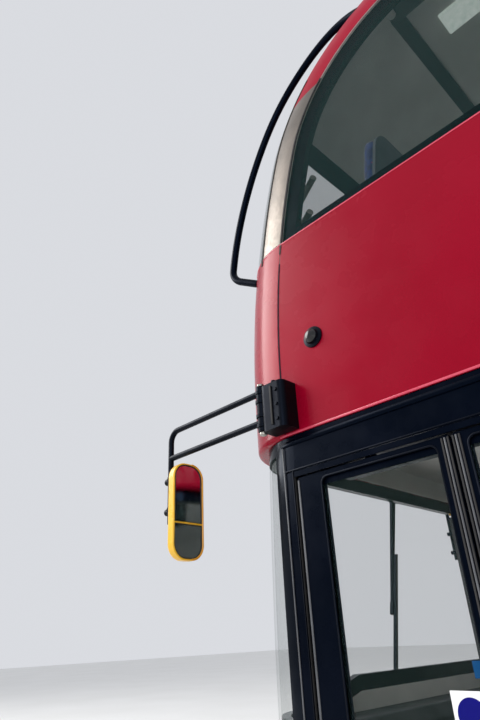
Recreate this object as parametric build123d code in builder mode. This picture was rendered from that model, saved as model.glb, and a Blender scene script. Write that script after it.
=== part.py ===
"""Two-door double decker bus, full size, in millimetres.

+X points to the front of the bus, +Y to its nearside (the kerb), +Z up. The origin is on the road, under the
middle of the box that holds the bus and its mirrors. The body is one outline seen from the side, as wide as the
bus, with a large round edge that runs up the front corners, along the roof and down the rear corners. Walls,
panels, frames and panes are layers of that same form, so they meet flush.
"""
from build123d import *
from math import asin, cos, degrees, radians, sin
import os

os.makedirs("parts", exist_ok=True)

# Overall size
BODY_LENGTH = 10500
HALF_WIDTH = 1275
ROOF_Z = 4340
MIRROR_REACH = 340
FRONT_X = (BODY_LENGTH - MIRROR_REACH) / 2
REAR_X = FRONT_X - BODY_LENGTH

# Heights of the panel joints
SKIRT_Z = 280
BUMPER_Z = 520
WAIST_Z = 1200
DECK_Z = 2100
UPPER_WAIST_Z = 3010
PILLAR_TOP_Z = 3800
SCREEN_TOP_Z = 3900

# Side outline of the upper body: upright foot, long brow, tight dome, flat roof, round tail
BROW_Z = 2300
BROW_R = 4000
BROW_TURN = 19
TAIL_R = 450
DOME_R = (ROOF_Z - BROW_Z - BROW_R * sin(radians(BROW_TURN))) / (1 - sin(radians(BROW_TURN)))
DOME_CENTRE = (
    FRONT_X - BROW_R + (BROW_R - DOME_R) * cos(radians(BROW_TURN)),
    BROW_Z + (BROW_R - DOME_R) * sin(radians(BROW_TURN)),
)
CORNER_R = 330

# Side outline of the lower body: one long curve at the nose, set back under the lip of the upper body
NOSE_X = FRONT_X - 24
NOSE_Z = 600
NOSE_R = 22000
LOWER_CORNER_R = 300

# Wall make-up, measured inwards from the outer face
WALL = 45
PANE_FACE = 2
PANE_BACK = 12
GAP = 3
SEAM = 338
SCREEN_EDGE = 200
POST_X = FRONT_X - 310
BORDER = 45
GROOVE_HALF = 2
GROOVE_DEEP = 6
LIP_R = 20
SOFFIT_T = 12

# Doorways on the nearside: front edge and rear edge of each clear opening
FRONT_DOOR = (4720, 3490)
CENTRE_DOOR = (370, -860)
POST = 50
SILL_Z = 340
HEAD_Z = 1960
JOINT = 2

# Panes: edges from front to rear
SIDE_TOP_Z = 2000
UPPER_EDGES = [FRONT_X, 3300, 1900, 500, -900, -2300, -3700, REAR_X + 338]
NEAR_BANDS = [[3440, 1930, 420], [-910, -2480, -4050]]
OFF_BANDS = [[4745, 3640], [1860, 400, -1085, -2570, -4050]]
SIGN = (620, 2350, 2800)
REAR_WINDOW = (620, 3060, 3760)
ENGINE_FLAP = (800, 480, 1330)

# Running gear
FRONT_AXLE_X = 2500
WHEELBASE = 5400
REAR_AXLE_X = FRONT_AXLE_X - WHEELBASE
TYRE_R = 480
TYRE_W = 275
RIM_R = 290
WHEEL_Y = 1110
TWIN_STEP = 320
KINGPIN_Y = 960
ARCH_R = 560
BOX_R = 630

# Floors
FLOOR_Z = 340
FLOOR_T = 40
UPPER_FLOOR_Z = 2320
UPPER_FLOOR_T = 60
CASING_X = -3560
CASING_Z = 1000
STAIR_Y = -600


def block(one, other, mode=Mode.ADD):
    """A box between two opposite corners, in the builder that is open."""
    size = [abs(b - a) for a, b in zip(one, other)]
    middle = [(a + b) / 2 for a, b in zip(one, other)]
    with Locations(tuple(middle)):
        Box(*size, mode=mode)


def save(piece, name):
    piece.part.label = name
    export_step(piece.part, f"parts/{name}.step")


def upper_outline(inset):
    """Side view of the upper body, drawn in by inset. Every arc keeps its centre."""
    with BuildSketch(Plane.XZ) as outline:
        with BuildLine():
            foot = Line((FRONT_X - inset, DECK_Z), (FRONT_X - inset, BROW_Z))
            CenterArc((FRONT_X - BROW_R, BROW_Z), BROW_R - inset, 0, BROW_TURN)
            dome = CenterArc(DOME_CENTRE, DOME_R - inset, BROW_TURN, 90 - BROW_TURN)
            Line(dome @ 1, (REAR_X + TAIL_R, ROOF_Z - inset))
            tail = CenterArc((REAR_X + TAIL_R, ROOF_Z - TAIL_R), TAIL_R - inset, 90, 90)
            back = Line(tail @ 1, (REAR_X + inset, DECK_Z))
            Line(back @ 1, foot @ 0)
        make_face()
    return outline.sketch


def lower_outline(inset):
    """Side view of the lower body, drawn in by inset."""
    radius = NOSE_R - inset
    low = degrees(asin((SKIRT_Z - NOSE_Z) / radius))
    high = degrees(asin((DECK_Z - NOSE_Z) / radius))
    with BuildSketch(Plane.XZ) as outline:
        with BuildLine():
            nose = CenterArc((NOSE_X - NOSE_R, NOSE_Z), radius, low, high - low)
            top = Line(nose @ 1, (REAR_X + inset, DECK_Z))
            back = Line(top @ 1, (REAR_X + inset, SKIRT_Z))
            Line(back @ 1, nose @ 0)
        make_face()
    return outline.sketch


def rounded_body(outline, inset, corner, flat_levels):
    """The outline made as wide as the bus, with its round edge. Edges at the flat levels stay sharp."""
    half = HALF_WIDTH - inset
    with BuildPart() as body:
        extrude(outline(inset), amount=half, dir=(0, 1, 0), both=True)
        side_edges = body.edges().filter_by(
            lambda e: abs(abs(e.center().Y) - half) < 1
            and all(abs(e.center().Z - z) > 1 for z in flat_levels)
        )
        fillet(side_edges, corner - inset)
    return body.part


def upper_body(inset):
    return rounded_body(upper_outline, inset, CORNER_R, [DECK_Z])


def lower_body(inset):
    return rounded_body(lower_outline, inset, LOWER_CORNER_R, [DECK_Z, SKIRT_Z])


def layer(outer, inner):
    """What lies between two bodies, one inside the other."""
    with BuildPart() as skin:
        add(outer)
        add(inner, mode=Mode.SUBTRACT)
    return skin.part


def prism(outline, inset):
    """The side outline, drawn in, through the whole width."""
    with BuildPart() as core:
        extrude(outline(inset), amount=HALF_WIDTH + 100, dir=(0, 1, 0), both=True)
    return core.part


UPPER_SOLID = upper_body(0)
UPPER_INSIDE = upper_body(WALL)
UPPER_WALL = layer(UPPER_SOLID, UPPER_INSIDE)
UPPER_FRAME = layer(upper_body(PANE_BACK), UPPER_INSIDE)
UPPER_PANE = layer(upper_body(PANE_FACE), upper_body(PANE_BACK))
LOWER_SOLID = lower_body(0)
LOWER_INSIDE = lower_body(WALL)
LOWER_WALL = layer(LOWER_SOLID, LOWER_INSIDE)
LOWER_FRAME = layer(lower_body(PANE_BACK), LOWER_INSIDE)
LOWER_PANE = layer(lower_body(PANE_FACE), lower_body(PANE_BACK))
SEAM_CORE = prism(upper_outline, SEAM)
SCREEN_CORE = prism(upper_outline, SCREEN_EDGE)
FAR = 6000
WIDE = HALF_WIDTH + 100
REAR_SEAM_X = REAR_X + SEAM


def zone(low, high):
    with BuildPart() as box_zone:
        block(low, high)
    return box_zone.part


def scored(wall, core, lines):
    """The wall with a narrow groove, as deep as the core lies, along each line."""
    with BuildPart() as cuts:
        for line in lines:
            add(line)
        add(core, mode=Mode.SUBTRACT)
    with BuildPart() as piece:
        add(wall)
        add(cuts.part, mode=Mode.SUBTRACT)
    return piece.part


# Panel joints show as grooves. Upright ones on the skirt: x. Level ones on the skirt: z.
SKIRT_JOINTS_X = [1640, -1560, -3720, -4560]
SKIRT_JOINT_Z = 640
seam_ring = layer(prism(upper_outline, SEAM - GROOVE_HALF), prism(upper_outline, SEAM + GROOVE_HALF))
waist_ring = zone((-FAR, -WIDE, UPPER_WAIST_Z - GROOVE_HALF), (FAR, WIDE, UPPER_WAIST_Z + GROOVE_HALF))
UPPER_WALL = scored(UPPER_WALL, upper_body(GROOVE_DEEP), [seam_ring, waist_ring])
lower_lines = [
    zone((joint_x - GROOVE_HALF, -WIDE, SKIRT_Z - 10), (joint_x + GROOVE_HALF, WIDE, top_z))
    for joint_x, top_z in [(POST_X, DECK_Z), (REAR_SEAM_X, DECK_Z), *((x, WAIST_Z - 40) for x in SKIRT_JOINTS_X)]
]
lower_lines.append(zone((-FAR, -WIDE, DECK_Z - 2 * GROOVE_HALF), (POST_X, WIDE, DECK_Z + 10)))
lower_lines.append(zone((-FAR, -WIDE, SKIRT_JOINT_Z), (POST_X, WIDE, SKIRT_JOINT_Z + 2 * GROOVE_HALF)))
LOWER_WALL = scored(LOWER_WALL, lower_body(GROOVE_DEEP), lower_lines)

# Upper body panels

with BuildPart() as roof_panel:
    add(UPPER_WALL)
    add(SEAM_CORE, mode=Mode.SUBTRACT)
    block((-FAR, -WIDE, PILLAR_TOP_Z), (FAR, WIDE, ROOF_Z + 10), Mode.INTERSECT)
    block((-FAR, -WIDE, PILLAR_TOP_Z - 10), (0, WIDE, ROOF_Z - SEAM), Mode.SUBTRACT)
    with BuildPart(mode=Mode.PRIVATE) as screen_zone:
        block((FRONT_X - 1200, -WIDE, UPPER_WAIST_Z), (FAR, WIDE, SCREEN_TOP_Z))
        add(SCREEN_CORE, mode=Mode.SUBTRACT)
    add(screen_zone.part, mode=Mode.SUBTRACT)
save(roof_panel, "roof_panel")

with BuildPart() as front_pillars:
    add(UPPER_WALL)
    add(SEAM_CORE, mode=Mode.SUBTRACT)
    add(SCREEN_CORE, mode=Mode.INTERSECT)
    block((FRONT_X - 1200, -WIDE, UPPER_WAIST_Z), (FAR, WIDE, PILLAR_TOP_Z), Mode.INTERSECT)
save(front_pillars, "front_pillars")

with BuildPart() as mid_side_panels:
    add(UPPER_WALL)
    add(SEAM_CORE, mode=Mode.INTERSECT)
    block((-FAR, -WIDE, DECK_Z), (FAR, WIDE, UPPER_WAIST_Z), Mode.INTERSECT)
save(mid_side_panels, "mid_side_panels")

sign_half, sign_low, sign_high = SIGN
SOFFIT_X = FRONT_X - 130
with BuildPart() as soffit:
    add(UPPER_SOLID)
    block((FRONT_X - SEAM, -WIDE, DECK_Z), (FAR, WIDE, DECK_Z + SOFFIT_T), Mode.INTERSECT)
    with BuildSketch(Plane.XY.offset(DECK_Z)):
        with Locations((SOFFIT_X - 500, 0)):
            RectangleRounded(1000, 2 * (HALF_WIDTH - WALL), LOWER_CORNER_R - WALL)
    extrude(amount=SOFFIT_T, mode=Mode.SUBTRACT)

with BuildPart() as mid_front_panel:
    add(UPPER_WALL)
    add(SEAM_CORE, mode=Mode.SUBTRACT)
    block((0, -WIDE, DECK_Z), (FAR, WIDE, UPPER_WAIST_Z), Mode.INTERSECT)
    add(soffit.part)
    lip_edges = mid_front_panel.edges().group_by(Axis.Z)[0].filter_by(
        lambda e: (e @ 0.5).X > FRONT_X - 1 or abs((e @ 0.5).Y) > HALF_WIDTH - 1
        or abs(abs((e @ 0.5).Y) - HALF_WIDTH + CORNER_R * (1 - sin(radians(45)))) < 1
    )
    fillet(lip_edges, LIP_R)
    block((FRONT_X - 500, -sign_half, sign_low), (FAR, sign_half, sign_high), Mode.SUBTRACT)
save(mid_front_panel, "mid_front_panel")

with BuildPart() as sign_screen:
    add(UPPER_PANE)
    low, high = (FRONT_X - 500, GAP - sign_half, sign_low + GAP), (FAR, sign_half - GAP, sign_high - GAP)
    block(low, high, Mode.INTERSECT)
    block((FRONT_X - 170, -sign_half - 30, sign_low - 30), (FRONT_X - 110, sign_half + 30, sign_high + 30))
save(sign_screen, "sign_screen")

window_half, window_low, window_high = REAR_WINDOW
with BuildPart() as rear_upper_panel:
    add(UPPER_WALL)
    add(SEAM_CORE, mode=Mode.SUBTRACT)
    block((-FAR, -WIDE, DECK_Z), (0, WIDE, ROOF_Z - SEAM), Mode.INTERSECT)
    block((-FAR, -window_half, window_low), (REAR_X + 200, window_half, window_high), Mode.SUBTRACT)
save(rear_upper_panel, "rear_upper_panel")

# Lower body panels

AXLES = [FRONT_AXLE_X, REAR_AXLE_X]


def arches(mode=Mode.SUBTRACT):
    """The round wheel openings, through the walls of both sides."""
    for axle_x in AXLES:
        with Locations(Location((axle_x, 0, TYRE_R), (90, 0, 0))):
            Cylinder(ARCH_R, 2 * WIDE, mode=mode)
        block((axle_x - ARCH_R, -WIDE, 0), (axle_x + ARCH_R, WIDE, TYRE_R), mode)


def side_wall(side, bands, doors):
    """One side of the lower body, without its arches, doorways and windows."""
    with BuildPart() as wall:
        add(LOWER_WALL)
        y_range = (0, WIDE) if side > 0 else (-WIDE, 0)
        block((REAR_SEAM_X, y_range[0], SKIRT_Z), (POST_X, y_range[1], DECK_Z), Mode.INTERSECT)
        arches()
        for edges in bands:
            block((edges[-1], -WIDE, WAIST_Z), (edges[0], WIDE, SIDE_TOP_Z), Mode.SUBTRACT)
        for front, rear in doors:
            block((rear - POST, -WIDE, SILL_Z - 10), (front + POST, WIDE, DECK_Z), Mode.SUBTRACT)
            for joint_x in (rear - POST, front + POST):
                low, high = (joint_x - JOINT / 2, -WIDE, SKIRT_Z - 1), (joint_x + JOINT / 2, WIDE, SILL_Z)
                block(low, high, Mode.SUBTRACT)
    return wall


nearside_lower_panel = side_wall(1, NEAR_BANDS, [FRONT_DOOR, CENTRE_DOOR])
save(nearside_lower_panel, "nearside_lower_panel")
offside_lower_panel = side_wall(-1, OFF_BANDS, [])
save(offside_lower_panel, "offside_lower_panel")

HEADLAMPS = [(y, 780, 85) for y in (-900, -700, 700, 900)]
TAIL_LAMPS = [(y, z, 50) for y in (-905, 905) for z in (760, 900, 1040, 1180)]


def lamp_plugs(lamps, x_low, x_high, shrink, mode):
    for lamp_y, lamp_z, lamp_r in lamps:
        with Locations(Location(((x_low + x_high) / 2, lamp_y, lamp_z), (0, 90, 0))):
            Cylinder(lamp_r - shrink, x_high - x_low, mode=mode)


with BuildPart() as front_lower_panel:
    add(LOWER_WALL)
    block((POST_X, -WIDE, SKIRT_Z), (FAR, WIDE, WAIST_Z), Mode.INTERSECT)
    block((POST_X - 10, -WIDE, BUMPER_Z - GAP), (FAR, WIDE, BUMPER_Z), Mode.SUBTRACT)
    lamp_plugs(HEADLAMPS, FRONT_X - 400, FRONT_X + 50, 0, Mode.SUBTRACT)
save(front_lower_panel, "front_lower_panel")

flap_half, flap_low, flap_high = ENGINE_FLAP
with BuildPart() as rear_lower_panel:
    add(LOWER_WALL)
    block((-FAR, -WIDE, SKIRT_Z), (REAR_SEAM_X, WIDE, DECK_Z), Mode.INTERSECT)
    block((-FAR, -flap_half, flap_low), (REAR_X + 100, flap_half, flap_high), Mode.SUBTRACT)
    lamp_plugs(TAIL_LAMPS, REAR_X - 50, REAR_X + 100, 0, Mode.SUBTRACT)
save(rear_lower_panel, "rear_lower_panel")

with BuildPart() as lamps:
    add(LOWER_FRAME)
    with BuildPart(mode=Mode.PRIVATE) as lamp_cores:
        lamp_plugs(HEADLAMPS, FRONT_X - 400, FRONT_X + 50, GAP / 2, Mode.ADD)
        lamp_plugs(TAIL_LAMPS, REAR_X - 50, REAR_X + 100, GAP / 2, Mode.ADD)
    add(lamp_cores.part, mode=Mode.INTERSECT)
save(lamps, "lamps")

FLAP_GAP = 6
FLAP_TOP_Z = flap_high - 12
FLAP_AXIS = (REAR_X + 8, FLAP_TOP_Z - 4)
with BuildPart() as engine_flap:
    low = (REAR_X, FLAP_GAP - flap_half, flap_low + FLAP_GAP)
    high = (REAR_X + 35, flap_half - FLAP_GAP, FLAP_TOP_Z)
    block(low, high)
    with BuildSketch(Plane.XZ.offset(600)) as louvre:
        with BuildLine():
            Polyline((REAR_X - 1, 0), (REAR_X + 36, 26), (REAR_X + 36, 48), (REAR_X - 1, 22), close=True)
        make_face()
    for row in range(7):
        with Locations((0, 0, 560 + 55 * row)):
            add(extrude(louvre.sketch, amount=1200, dir=(0, 1, 0), mode=Mode.PRIVATE), mode=Mode.SUBTRACT)
    for barrel_y in (-500, 500):
        with Locations(Location((FLAP_AXIS[0], barrel_y, FLAP_AXIS[1]), (90, 0, 0))):
            Cylinder(7, 80)
save(engine_flap, "engine_flap")

# Glazing


def pane_row(edges, z_low, z_high, side, shrink):
    """Boxes for one row of panes, each smaller than its share of the row by shrink all round."""
    y_low, y_high = (0, WIDE) if side > 0 else (-WIDE, 0)
    for front, rear in zip(edges, edges[1:]):
        block((rear + shrink, y_low, z_low + shrink), (front - shrink, y_high, z_high - shrink))


def rows(shrink):
    """Every lower side pane as a box."""
    with BuildPart() as boxes:
        for side, bands in [(1, NEAR_BANDS), (-1, OFF_BANDS)]:
            for edges in bands:
                pane_row(edges, WAIST_Z, SIDE_TOP_Z, side, shrink)
    return boxes.part


def upper_rows(shrink, front_inset):
    """The upper side panes. The front one follows the curve of the brow."""
    with BuildPart() as boxes:
        for side in (1, -1):
            pane_row(UPPER_EDGES, UPPER_WAIST_Z, ROOF_Z, side, shrink)
        add(prism(upper_outline, front_inset), mode=Mode.INTERSECT)
    return boxes.part


LOWER_BANDS = [(1, edges) for edges in NEAR_BANDS] + [(-1, edges) for edges in OFF_BANDS]
with BuildPart() as side_frames:
    with BuildPart(mode=Mode.PRIVATE) as band_zone:
        for side, edges in LOWER_BANDS:
            y_low, y_high = (0, WIDE) if side > 0 else (-WIDE, 0)
            block((edges[-1] + 1, y_low, WAIST_Z + 1), (edges[0] - 1, y_high, SIDE_TOP_Z - 1))
    add(LOWER_FRAME)
    add(band_zone.part, mode=Mode.INTERSECT)
    add(rows(BORDER), mode=Mode.SUBTRACT)

with BuildPart() as side_panes:
    add(LOWER_PANE)
    add(rows(GAP), mode=Mode.INTERSECT)
save(side_panes, "lower_side_glass")

with BuildPart() as upper_frames:
    add(UPPER_FRAME)
    add(prism(upper_outline, SEAM + 1), mode=Mode.INTERSECT)
    block((-FAR, -WIDE, UPPER_WAIST_Z + 1), (FAR, WIDE, ROOF_Z), Mode.INTERSECT)
    add(upper_rows(BORDER, SEAM + BORDER + 30), mode=Mode.SUBTRACT)

with BuildPart() as upper_panes:
    add(UPPER_PANE)
    add(upper_rows(GAP, SEAM + GAP), mode=Mode.INTERSECT)

with BuildPart() as rear_frame:
    add(UPPER_FRAME)
    low = (-FAR, 1 - window_half, window_low + 1)
    block(low, (REAR_X + 200, window_half - 1, window_high - 1), Mode.INTERSECT)
    low = (-FAR, BORDER - window_half, window_low + BORDER)
    block(low, (REAR_X + 200, window_half - BORDER, window_high - BORDER), Mode.SUBTRACT)

with BuildPart() as rear_pane:
    add(UPPER_PANE)
    low = (-FAR, GAP - window_half, window_low + GAP)
    block(low, (REAR_X + 200, window_half - GAP, window_high - GAP), Mode.INTERSECT)

with BuildPart() as upper_glass:
    add(upper_panes.part)
    add(rear_pane.part)
save(upper_glass, "upper_glass")


def screen(pane, frame, border_core, z_low, z_high, core):
    """A windscreen: a pane that reaches round both corners, on a frame with one large opening."""
    with BuildPart() as ring:
        add(frame)
        add(core, mode=Mode.SUBTRACT)
        block((FRONT_X - 1100, -WIDE, z_low + 1), (FAR, WIDE, z_high - 1), Mode.INTERSECT)
        with BuildPart(mode=Mode.PRIVATE) as sight:
            block((FRONT_X - 1100, -WIDE, z_low + 60), (FAR, WIDE, z_high - 60))
            add(border_core, mode=Mode.SUBTRACT)
        add(sight.part, mode=Mode.SUBTRACT)
    with BuildPart() as glass:
        add(pane)
        add(core, mode=Mode.SUBTRACT)
        block((FRONT_X - 1100, -WIDE, z_low + GAP), (FAR, WIDE, z_high - GAP), Mode.INTERSECT)
    return ring, glass


upper_ring, upper_screen = screen(
    UPPER_PANE, UPPER_FRAME, prism(upper_outline, SCREEN_EDGE - 60), UPPER_WAIST_Z, SCREEN_TOP_Z,
    prism(upper_outline, SCREEN_EDGE - GAP),
)
save(upper_screen, "upper_windscreen")
lower_ring, lower_screen = screen(
    LOWER_PANE, LOWER_FRAME, zone((-FAR, -WIDE, 0), (POST_X + 60, WIDE, 3000)), WAIST_Z, DECK_Z,
    zone((-FAR, -WIDE, 0), (POST_X + 2, WIDE, 3000)),
)

with BuildPart() as window_frames:
    for ring in (side_frames, upper_frames, rear_frame):
        add(ring.part)
save(window_frames, "window_frames")

with BuildPart() as screen_frames:
    add(upper_ring.part)
    add(lower_ring.part)
save(screen_frames, "screen_frames")
save(lower_screen, "lower_windscreen")

# Doorways and doors

# A doorway has a sill, two posts, a header and a thin drip strip that hangs before the heads of the leaves
with BuildPart() as doorway_frames:
    add(LOWER_WALL)
    with BuildPart(mode=Mode.PRIVATE) as frame_zone:
        for front, rear in (FRONT_DOOR, CENTRE_DOOR):
            frame_rear, frame_front = rear - POST + 1, front + POST - 1
            block((frame_rear, 0, SILL_Z - 9), (frame_front, WIDE, SILL_Z))
            block((frame_rear, 0, HEAD_Z), (frame_front, WIDE, DECK_Z))
            for post_rear, post_front in ((frame_rear, rear), (front, frame_front)):
                block((post_rear, 0, SILL_Z + JOINT), (post_front, WIDE, HEAD_Z - JOINT))
            block((rear + JOINT, HALF_WIDTH - 5, HEAD_Z - 22), (front - JOINT, WIDE, HEAD_Z - JOINT))
    add(frame_zone.part, mode=Mode.INTERSECT)
save(doorway_frames, "doorway_frames")

# Each leaf hangs at its middle between two arms, one over it and one under it. The arms turn with a column behind
# the post and the leaf turns back on them twice as far, so that it ends square to the doorway, inside the bus.
LEAF_T = 32
LEAF_Y = 1252
COLUMN_Y = 1206
COLUMN_R = 16
COLUMN_BEHIND = 12
POST_GAP = 10
MEETING_GAP = 3
ARM_T = 14
ARM_FEET = (SILL_Z + 7, HEAD_Z - 7 - ARM_T)
LEAF_Z = (ARM_FEET[0] + ARM_T + 6, ARM_FEET[1] - 6)
PIN_R = 8
STILES = (105, 42)
doors = [
    # name, doorway, edge of the post, direction from the post along the doorway
    ("front_door_a", FRONT_DOOR, FRONT_DOOR[0], -1),
    ("front_door_b", FRONT_DOOR, FRONT_DOOR[1], 1),
    ("centre_door_a", CENTRE_DOOR, CENTRE_DOOR[0], -1),
    ("centre_door_b", CENTRE_DOOR, CENTRE_DOOR[1], 1),
]
for name, (front, rear), post_x, way in doors:
    length = (front - rear) / 2 - POST_GAP - MEETING_GAP
    pivot_x = post_x + way * (POST_GAP + length / 2)
    column_x = post_x - way * COLUMN_BEHIND
    reach = ((pivot_x - column_x) ** 2 + (LEAF_Y - COLUMN_Y) ** 2) ** 0.5
    slant = degrees(asin((LEAF_Y - COLUMN_Y) / reach)) * way
    with BuildPart() as leaf:
        with BuildSketch(Plane.XZ.offset(-LEAF_Y - LEAF_T / 2)):
            with Locations((pivot_x, sum(LEAF_Z) / 2)):
                RectangleRounded(length, LEAF_Z[1] - LEAF_Z[0], 12)
        extrude(amount=LEAF_T)
        leaf_start = post_x + way * POST_GAP
        glass_x = sorted((leaf_start + way * STILES[0], leaf_start + way * (length - STILES[1])))
        glass_size = (glass_x[1] - glass_x[0], LEAF_Z[1] - LEAF_Z[0] - 175)
        with BuildSketch(Plane.XZ.offset(-LEAF_Y - LEAF_T)):
            with Locations((sum(glass_x) / 2, sum(LEAF_Z) / 2 + 22)):
                RectangleRounded(*glass_size, 28)
        extrude(amount=2 * LEAF_T, mode=Mode.SUBTRACT)
        with Locations((sum(glass_x) / 2, LEAF_Y, sum(LEAF_Z) / 2 + 22)):
            Box(glass_size[0] + 4, 8, glass_size[1] + 4)
        for pin_z in (LEAF_Z[0] - 9, LEAF_Z[1] + 9):
            with Locations((pivot_x, LEAF_Y, pin_z)):
                Cylinder(PIN_R, 20)
        rail_x = leaf_start + way * (length - STILES[1] / 2)
        rail_y = LEAF_Y - LEAF_T / 2 - 45
        foot_y = LEAF_Y - LEAF_T / 4
        rail_path = [(rail_x, y, z) for y, z in ((foot_y, 780), (rail_y, 780), (rail_y, 1640), (foot_y, 1640))]
        with BuildLine() as rail_line:
            FilletPolyline(*rail_path, radius=30)
        with BuildSketch(Plane(origin=rail_line.line @ 0, z_dir=rail_line.line % 0)) as rail_section:
            Circle(12)
        sweep(rail_section.sketch, path=rail_line.line)
    save(leaf, name + "_leaf")
    with BuildPart() as arm:
        for arm_z in ARM_FEET:
            with BuildSketch(Plane.XY.offset(arm_z)):
                with Locations(((column_x + pivot_x) / 2, (COLUMN_Y + LEAF_Y) / 2)):
                    SlotCenterToCenter(reach, 24, rotation=slant)
                with Locations((pivot_x, LEAF_Y)):
                    Circle(PIN_R + 0.5, mode=Mode.SUBTRACT)
            extrude(amount=ARM_T)
        with Locations((column_x, COLUMN_Y, (SILL_Z + HEAD_Z) / 2)):
            Cylinder(COLUMN_R, HEAD_Z - SILL_Z - 6)
    save(arm, name + "_arm")

# Floors and stair

SPAN = HALF_WIDTH - WALL
FLOOR_FOOT_Z = FLOOR_Z - FLOOR_T
BOX_T = 30
CASING_T = 40
FRONT_BOX_Y = 640
REAR_BOX_Y = 600
floor_sheets = [
    # rear edge, front edge, half width
    (FRONT_AXLE_X + BOX_R, FRONT_X, SPAN),
    (FRONT_AXLE_X - BOX_R, FRONT_AXLE_X + BOX_R, FRONT_BOX_Y - JOINT),
    (REAR_AXLE_X + BOX_R, FRONT_AXLE_X - BOX_R, SPAN),
    (REAR_AXLE_X - BOX_R, REAR_AXLE_X + BOX_R, REAR_BOX_Y - JOINT),
    (CASING_X, REAR_AXLE_X - BOX_R, SPAN),
]


def box_section(axle_x, start_y, depth):
    """Side view of a wheel box, from one y: eight-sided, drawn in by depth, and open under the floor."""
    with BuildSketch(Plane.XZ.offset(-start_y)) as section:
        with Locations((axle_x, TYRE_R)):
            RegularPolygon(BOX_R - depth, 8, major_radius=False, rotation=22.5)
        with Locations((axle_x, FLOOR_FOOT_Z - BOX_R)):
            Rectangle(3 * BOX_R, 2 * BOX_R, mode=Mode.SUBTRACT)
    return section.sketch


def wheel_box(axle_x, side, inner_y):
    """A wheel box of flat plates: five folded round the tyre and one on the side of the gangway."""
    end_y = inner_y + BOX_T
    with BuildPart() as box:
        extrude(box_section(axle_x, side * inner_y, 0), amount=SPAN - inner_y, dir=(0, side, 0))
        hollow = box_section(axle_x, side * end_y, BOX_T)
        extrude(hollow, amount=SPAN, dir=(0, side, 0), mode=Mode.SUBTRACT)
        with Locations((axle_x, side * (end_y + JOINT / 2), TYRE_R)):
            Box(3 * BOX_R, JOINT, 3 * BOX_R, mode=Mode.SUBTRACT)
        for fold in (22.5, 67.5, 112.5, 157.5):
            with Locations(Location((axle_x, side * (end_y + BOX_R), TYRE_R), (0, fold, 0))):
                Box(3 * BOX_R, 2 * BOX_R, JOINT, mode=Mode.SUBTRACT)
    return box.part


with BuildPart() as lower_floor:
    for rear_x, front_x, half in floor_sheets:
        block((rear_x + JOINT / 2, -half, FLOOR_FOOT_Z), (front_x - JOINT / 2, half, FLOOR_Z))
    for side in (1, -1):
        add(wheel_box(FRONT_AXLE_X, side, FRONT_BOX_Y))
        add(wheel_box(REAR_AXLE_X, side, REAR_BOX_Y))
    # The engine casing under the rear seats: top, front and two sides, open behind and below
    wall_top_z = CASING_Z - CASING_T - JOINT
    block((REAR_X + WALL, -SPAN, CASING_Z - CASING_T), (CASING_X, SPAN, CASING_Z))
    block((CASING_X - CASING_T, -SPAN, FLOOR_FOOT_Z), (CASING_X, SPAN, wall_top_z))
    for side in (1, -1):
        side_foot = (REAR_X + WALL, side * (SPAN - CASING_T), FLOOR_FOOT_Z)
        block(side_foot, (CASING_X - CASING_T - JOINT, side * SPAN, wall_top_z))
    add(LOWER_INSIDE, mode=Mode.INTERSECT)
save(lower_floor, "lower_floor")

STEPS = 8
RISE = (UPPER_FLOOR_Z - FLOOR_Z) / (STEPS + 1)
TREAD = 230
STAIR_FOOT_X = 3640
STAIR_HEAD_X = STAIR_FOOT_X - STEPS * TREAD
with BuildPart() as upper_floor:
    add(UPPER_INSIDE)
    block((-FAR, -WIDE, UPPER_FLOOR_Z - UPPER_FLOOR_T), (FAR, WIDE, UPPER_FLOOR_Z), Mode.INTERSECT)
    block((STAIR_HEAD_X, -WIDE, 2000), (STAIR_FOOT_X, STAIR_Y, 3000), Mode.SUBTRACT)
save(upper_floor, "upper_floor")

with BuildPart() as stair:
    for step in range(STEPS):
        tread_x = STAIR_FOOT_X - step * TREAD
        tread_z = FLOOR_Z + (step + 1) * RISE
        block((tread_x - TREAD, -SPAN, tread_z - 30), (tread_x, STAIR_Y - 25, tread_z))
        riser_foot = FLOOR_Z if step == 0 else tread_z - RISE - 30
        block((tread_x - 20, -SPAN, riser_foot), (tread_x, STAIR_Y - 25, tread_z))
    block((STAIR_FOOT_X - TREAD, STAIR_Y - 25, FLOOR_Z), (STAIR_FOOT_X, STAIR_Y, FLOOR_Z + RISE))
    second_x = STAIR_FOOT_X - TREAD
    block((second_x - TREAD, STAIR_Y - 25, FLOOR_Z), (second_x, STAIR_Y, FLOOR_Z + 2 * RISE))
    block((STAIR_HEAD_X, STAIR_Y - 25, FLOOR_Z), (STAIR_FOOT_X - 2 * TREAD, STAIR_Y, UPPER_FLOOR_Z))
save(stair, "stair")

# Chassis and running gear

RAIL_Z = (200, FLOOR_Z - FLOOR_T)
BEAM_Z = (235, RAIL_Z[1])
with BuildPart() as chassis_frame:
    for side in (1, -1):
        y_low, y_high = sorted((side * 400, side * 460))
        block((REAR_X + 150, y_low, RAIL_Z[0]), (FRONT_X - 150, y_high, RAIL_Z[1]))
    for bar_x in (4700, 3300, 1500, 0, -1500, -3700, -5200):
        block((bar_x - 30, -900, RAIL_Z[0] + 20), (bar_x + 30, 900, RAIL_Z[1]))
    for axle_x in AXLES:
        block((axle_x - 110, -WIDE, 0), (axle_x + 110, WIDE, 2000), Mode.SUBTRACT)
save(chassis_frame, "chassis_frame")

with BuildPart() as engine_block:
    block((-5250, -560, RAIL_Z[1]), (-4350, 560, 900))
save(engine_block, "engine_block")

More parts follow.
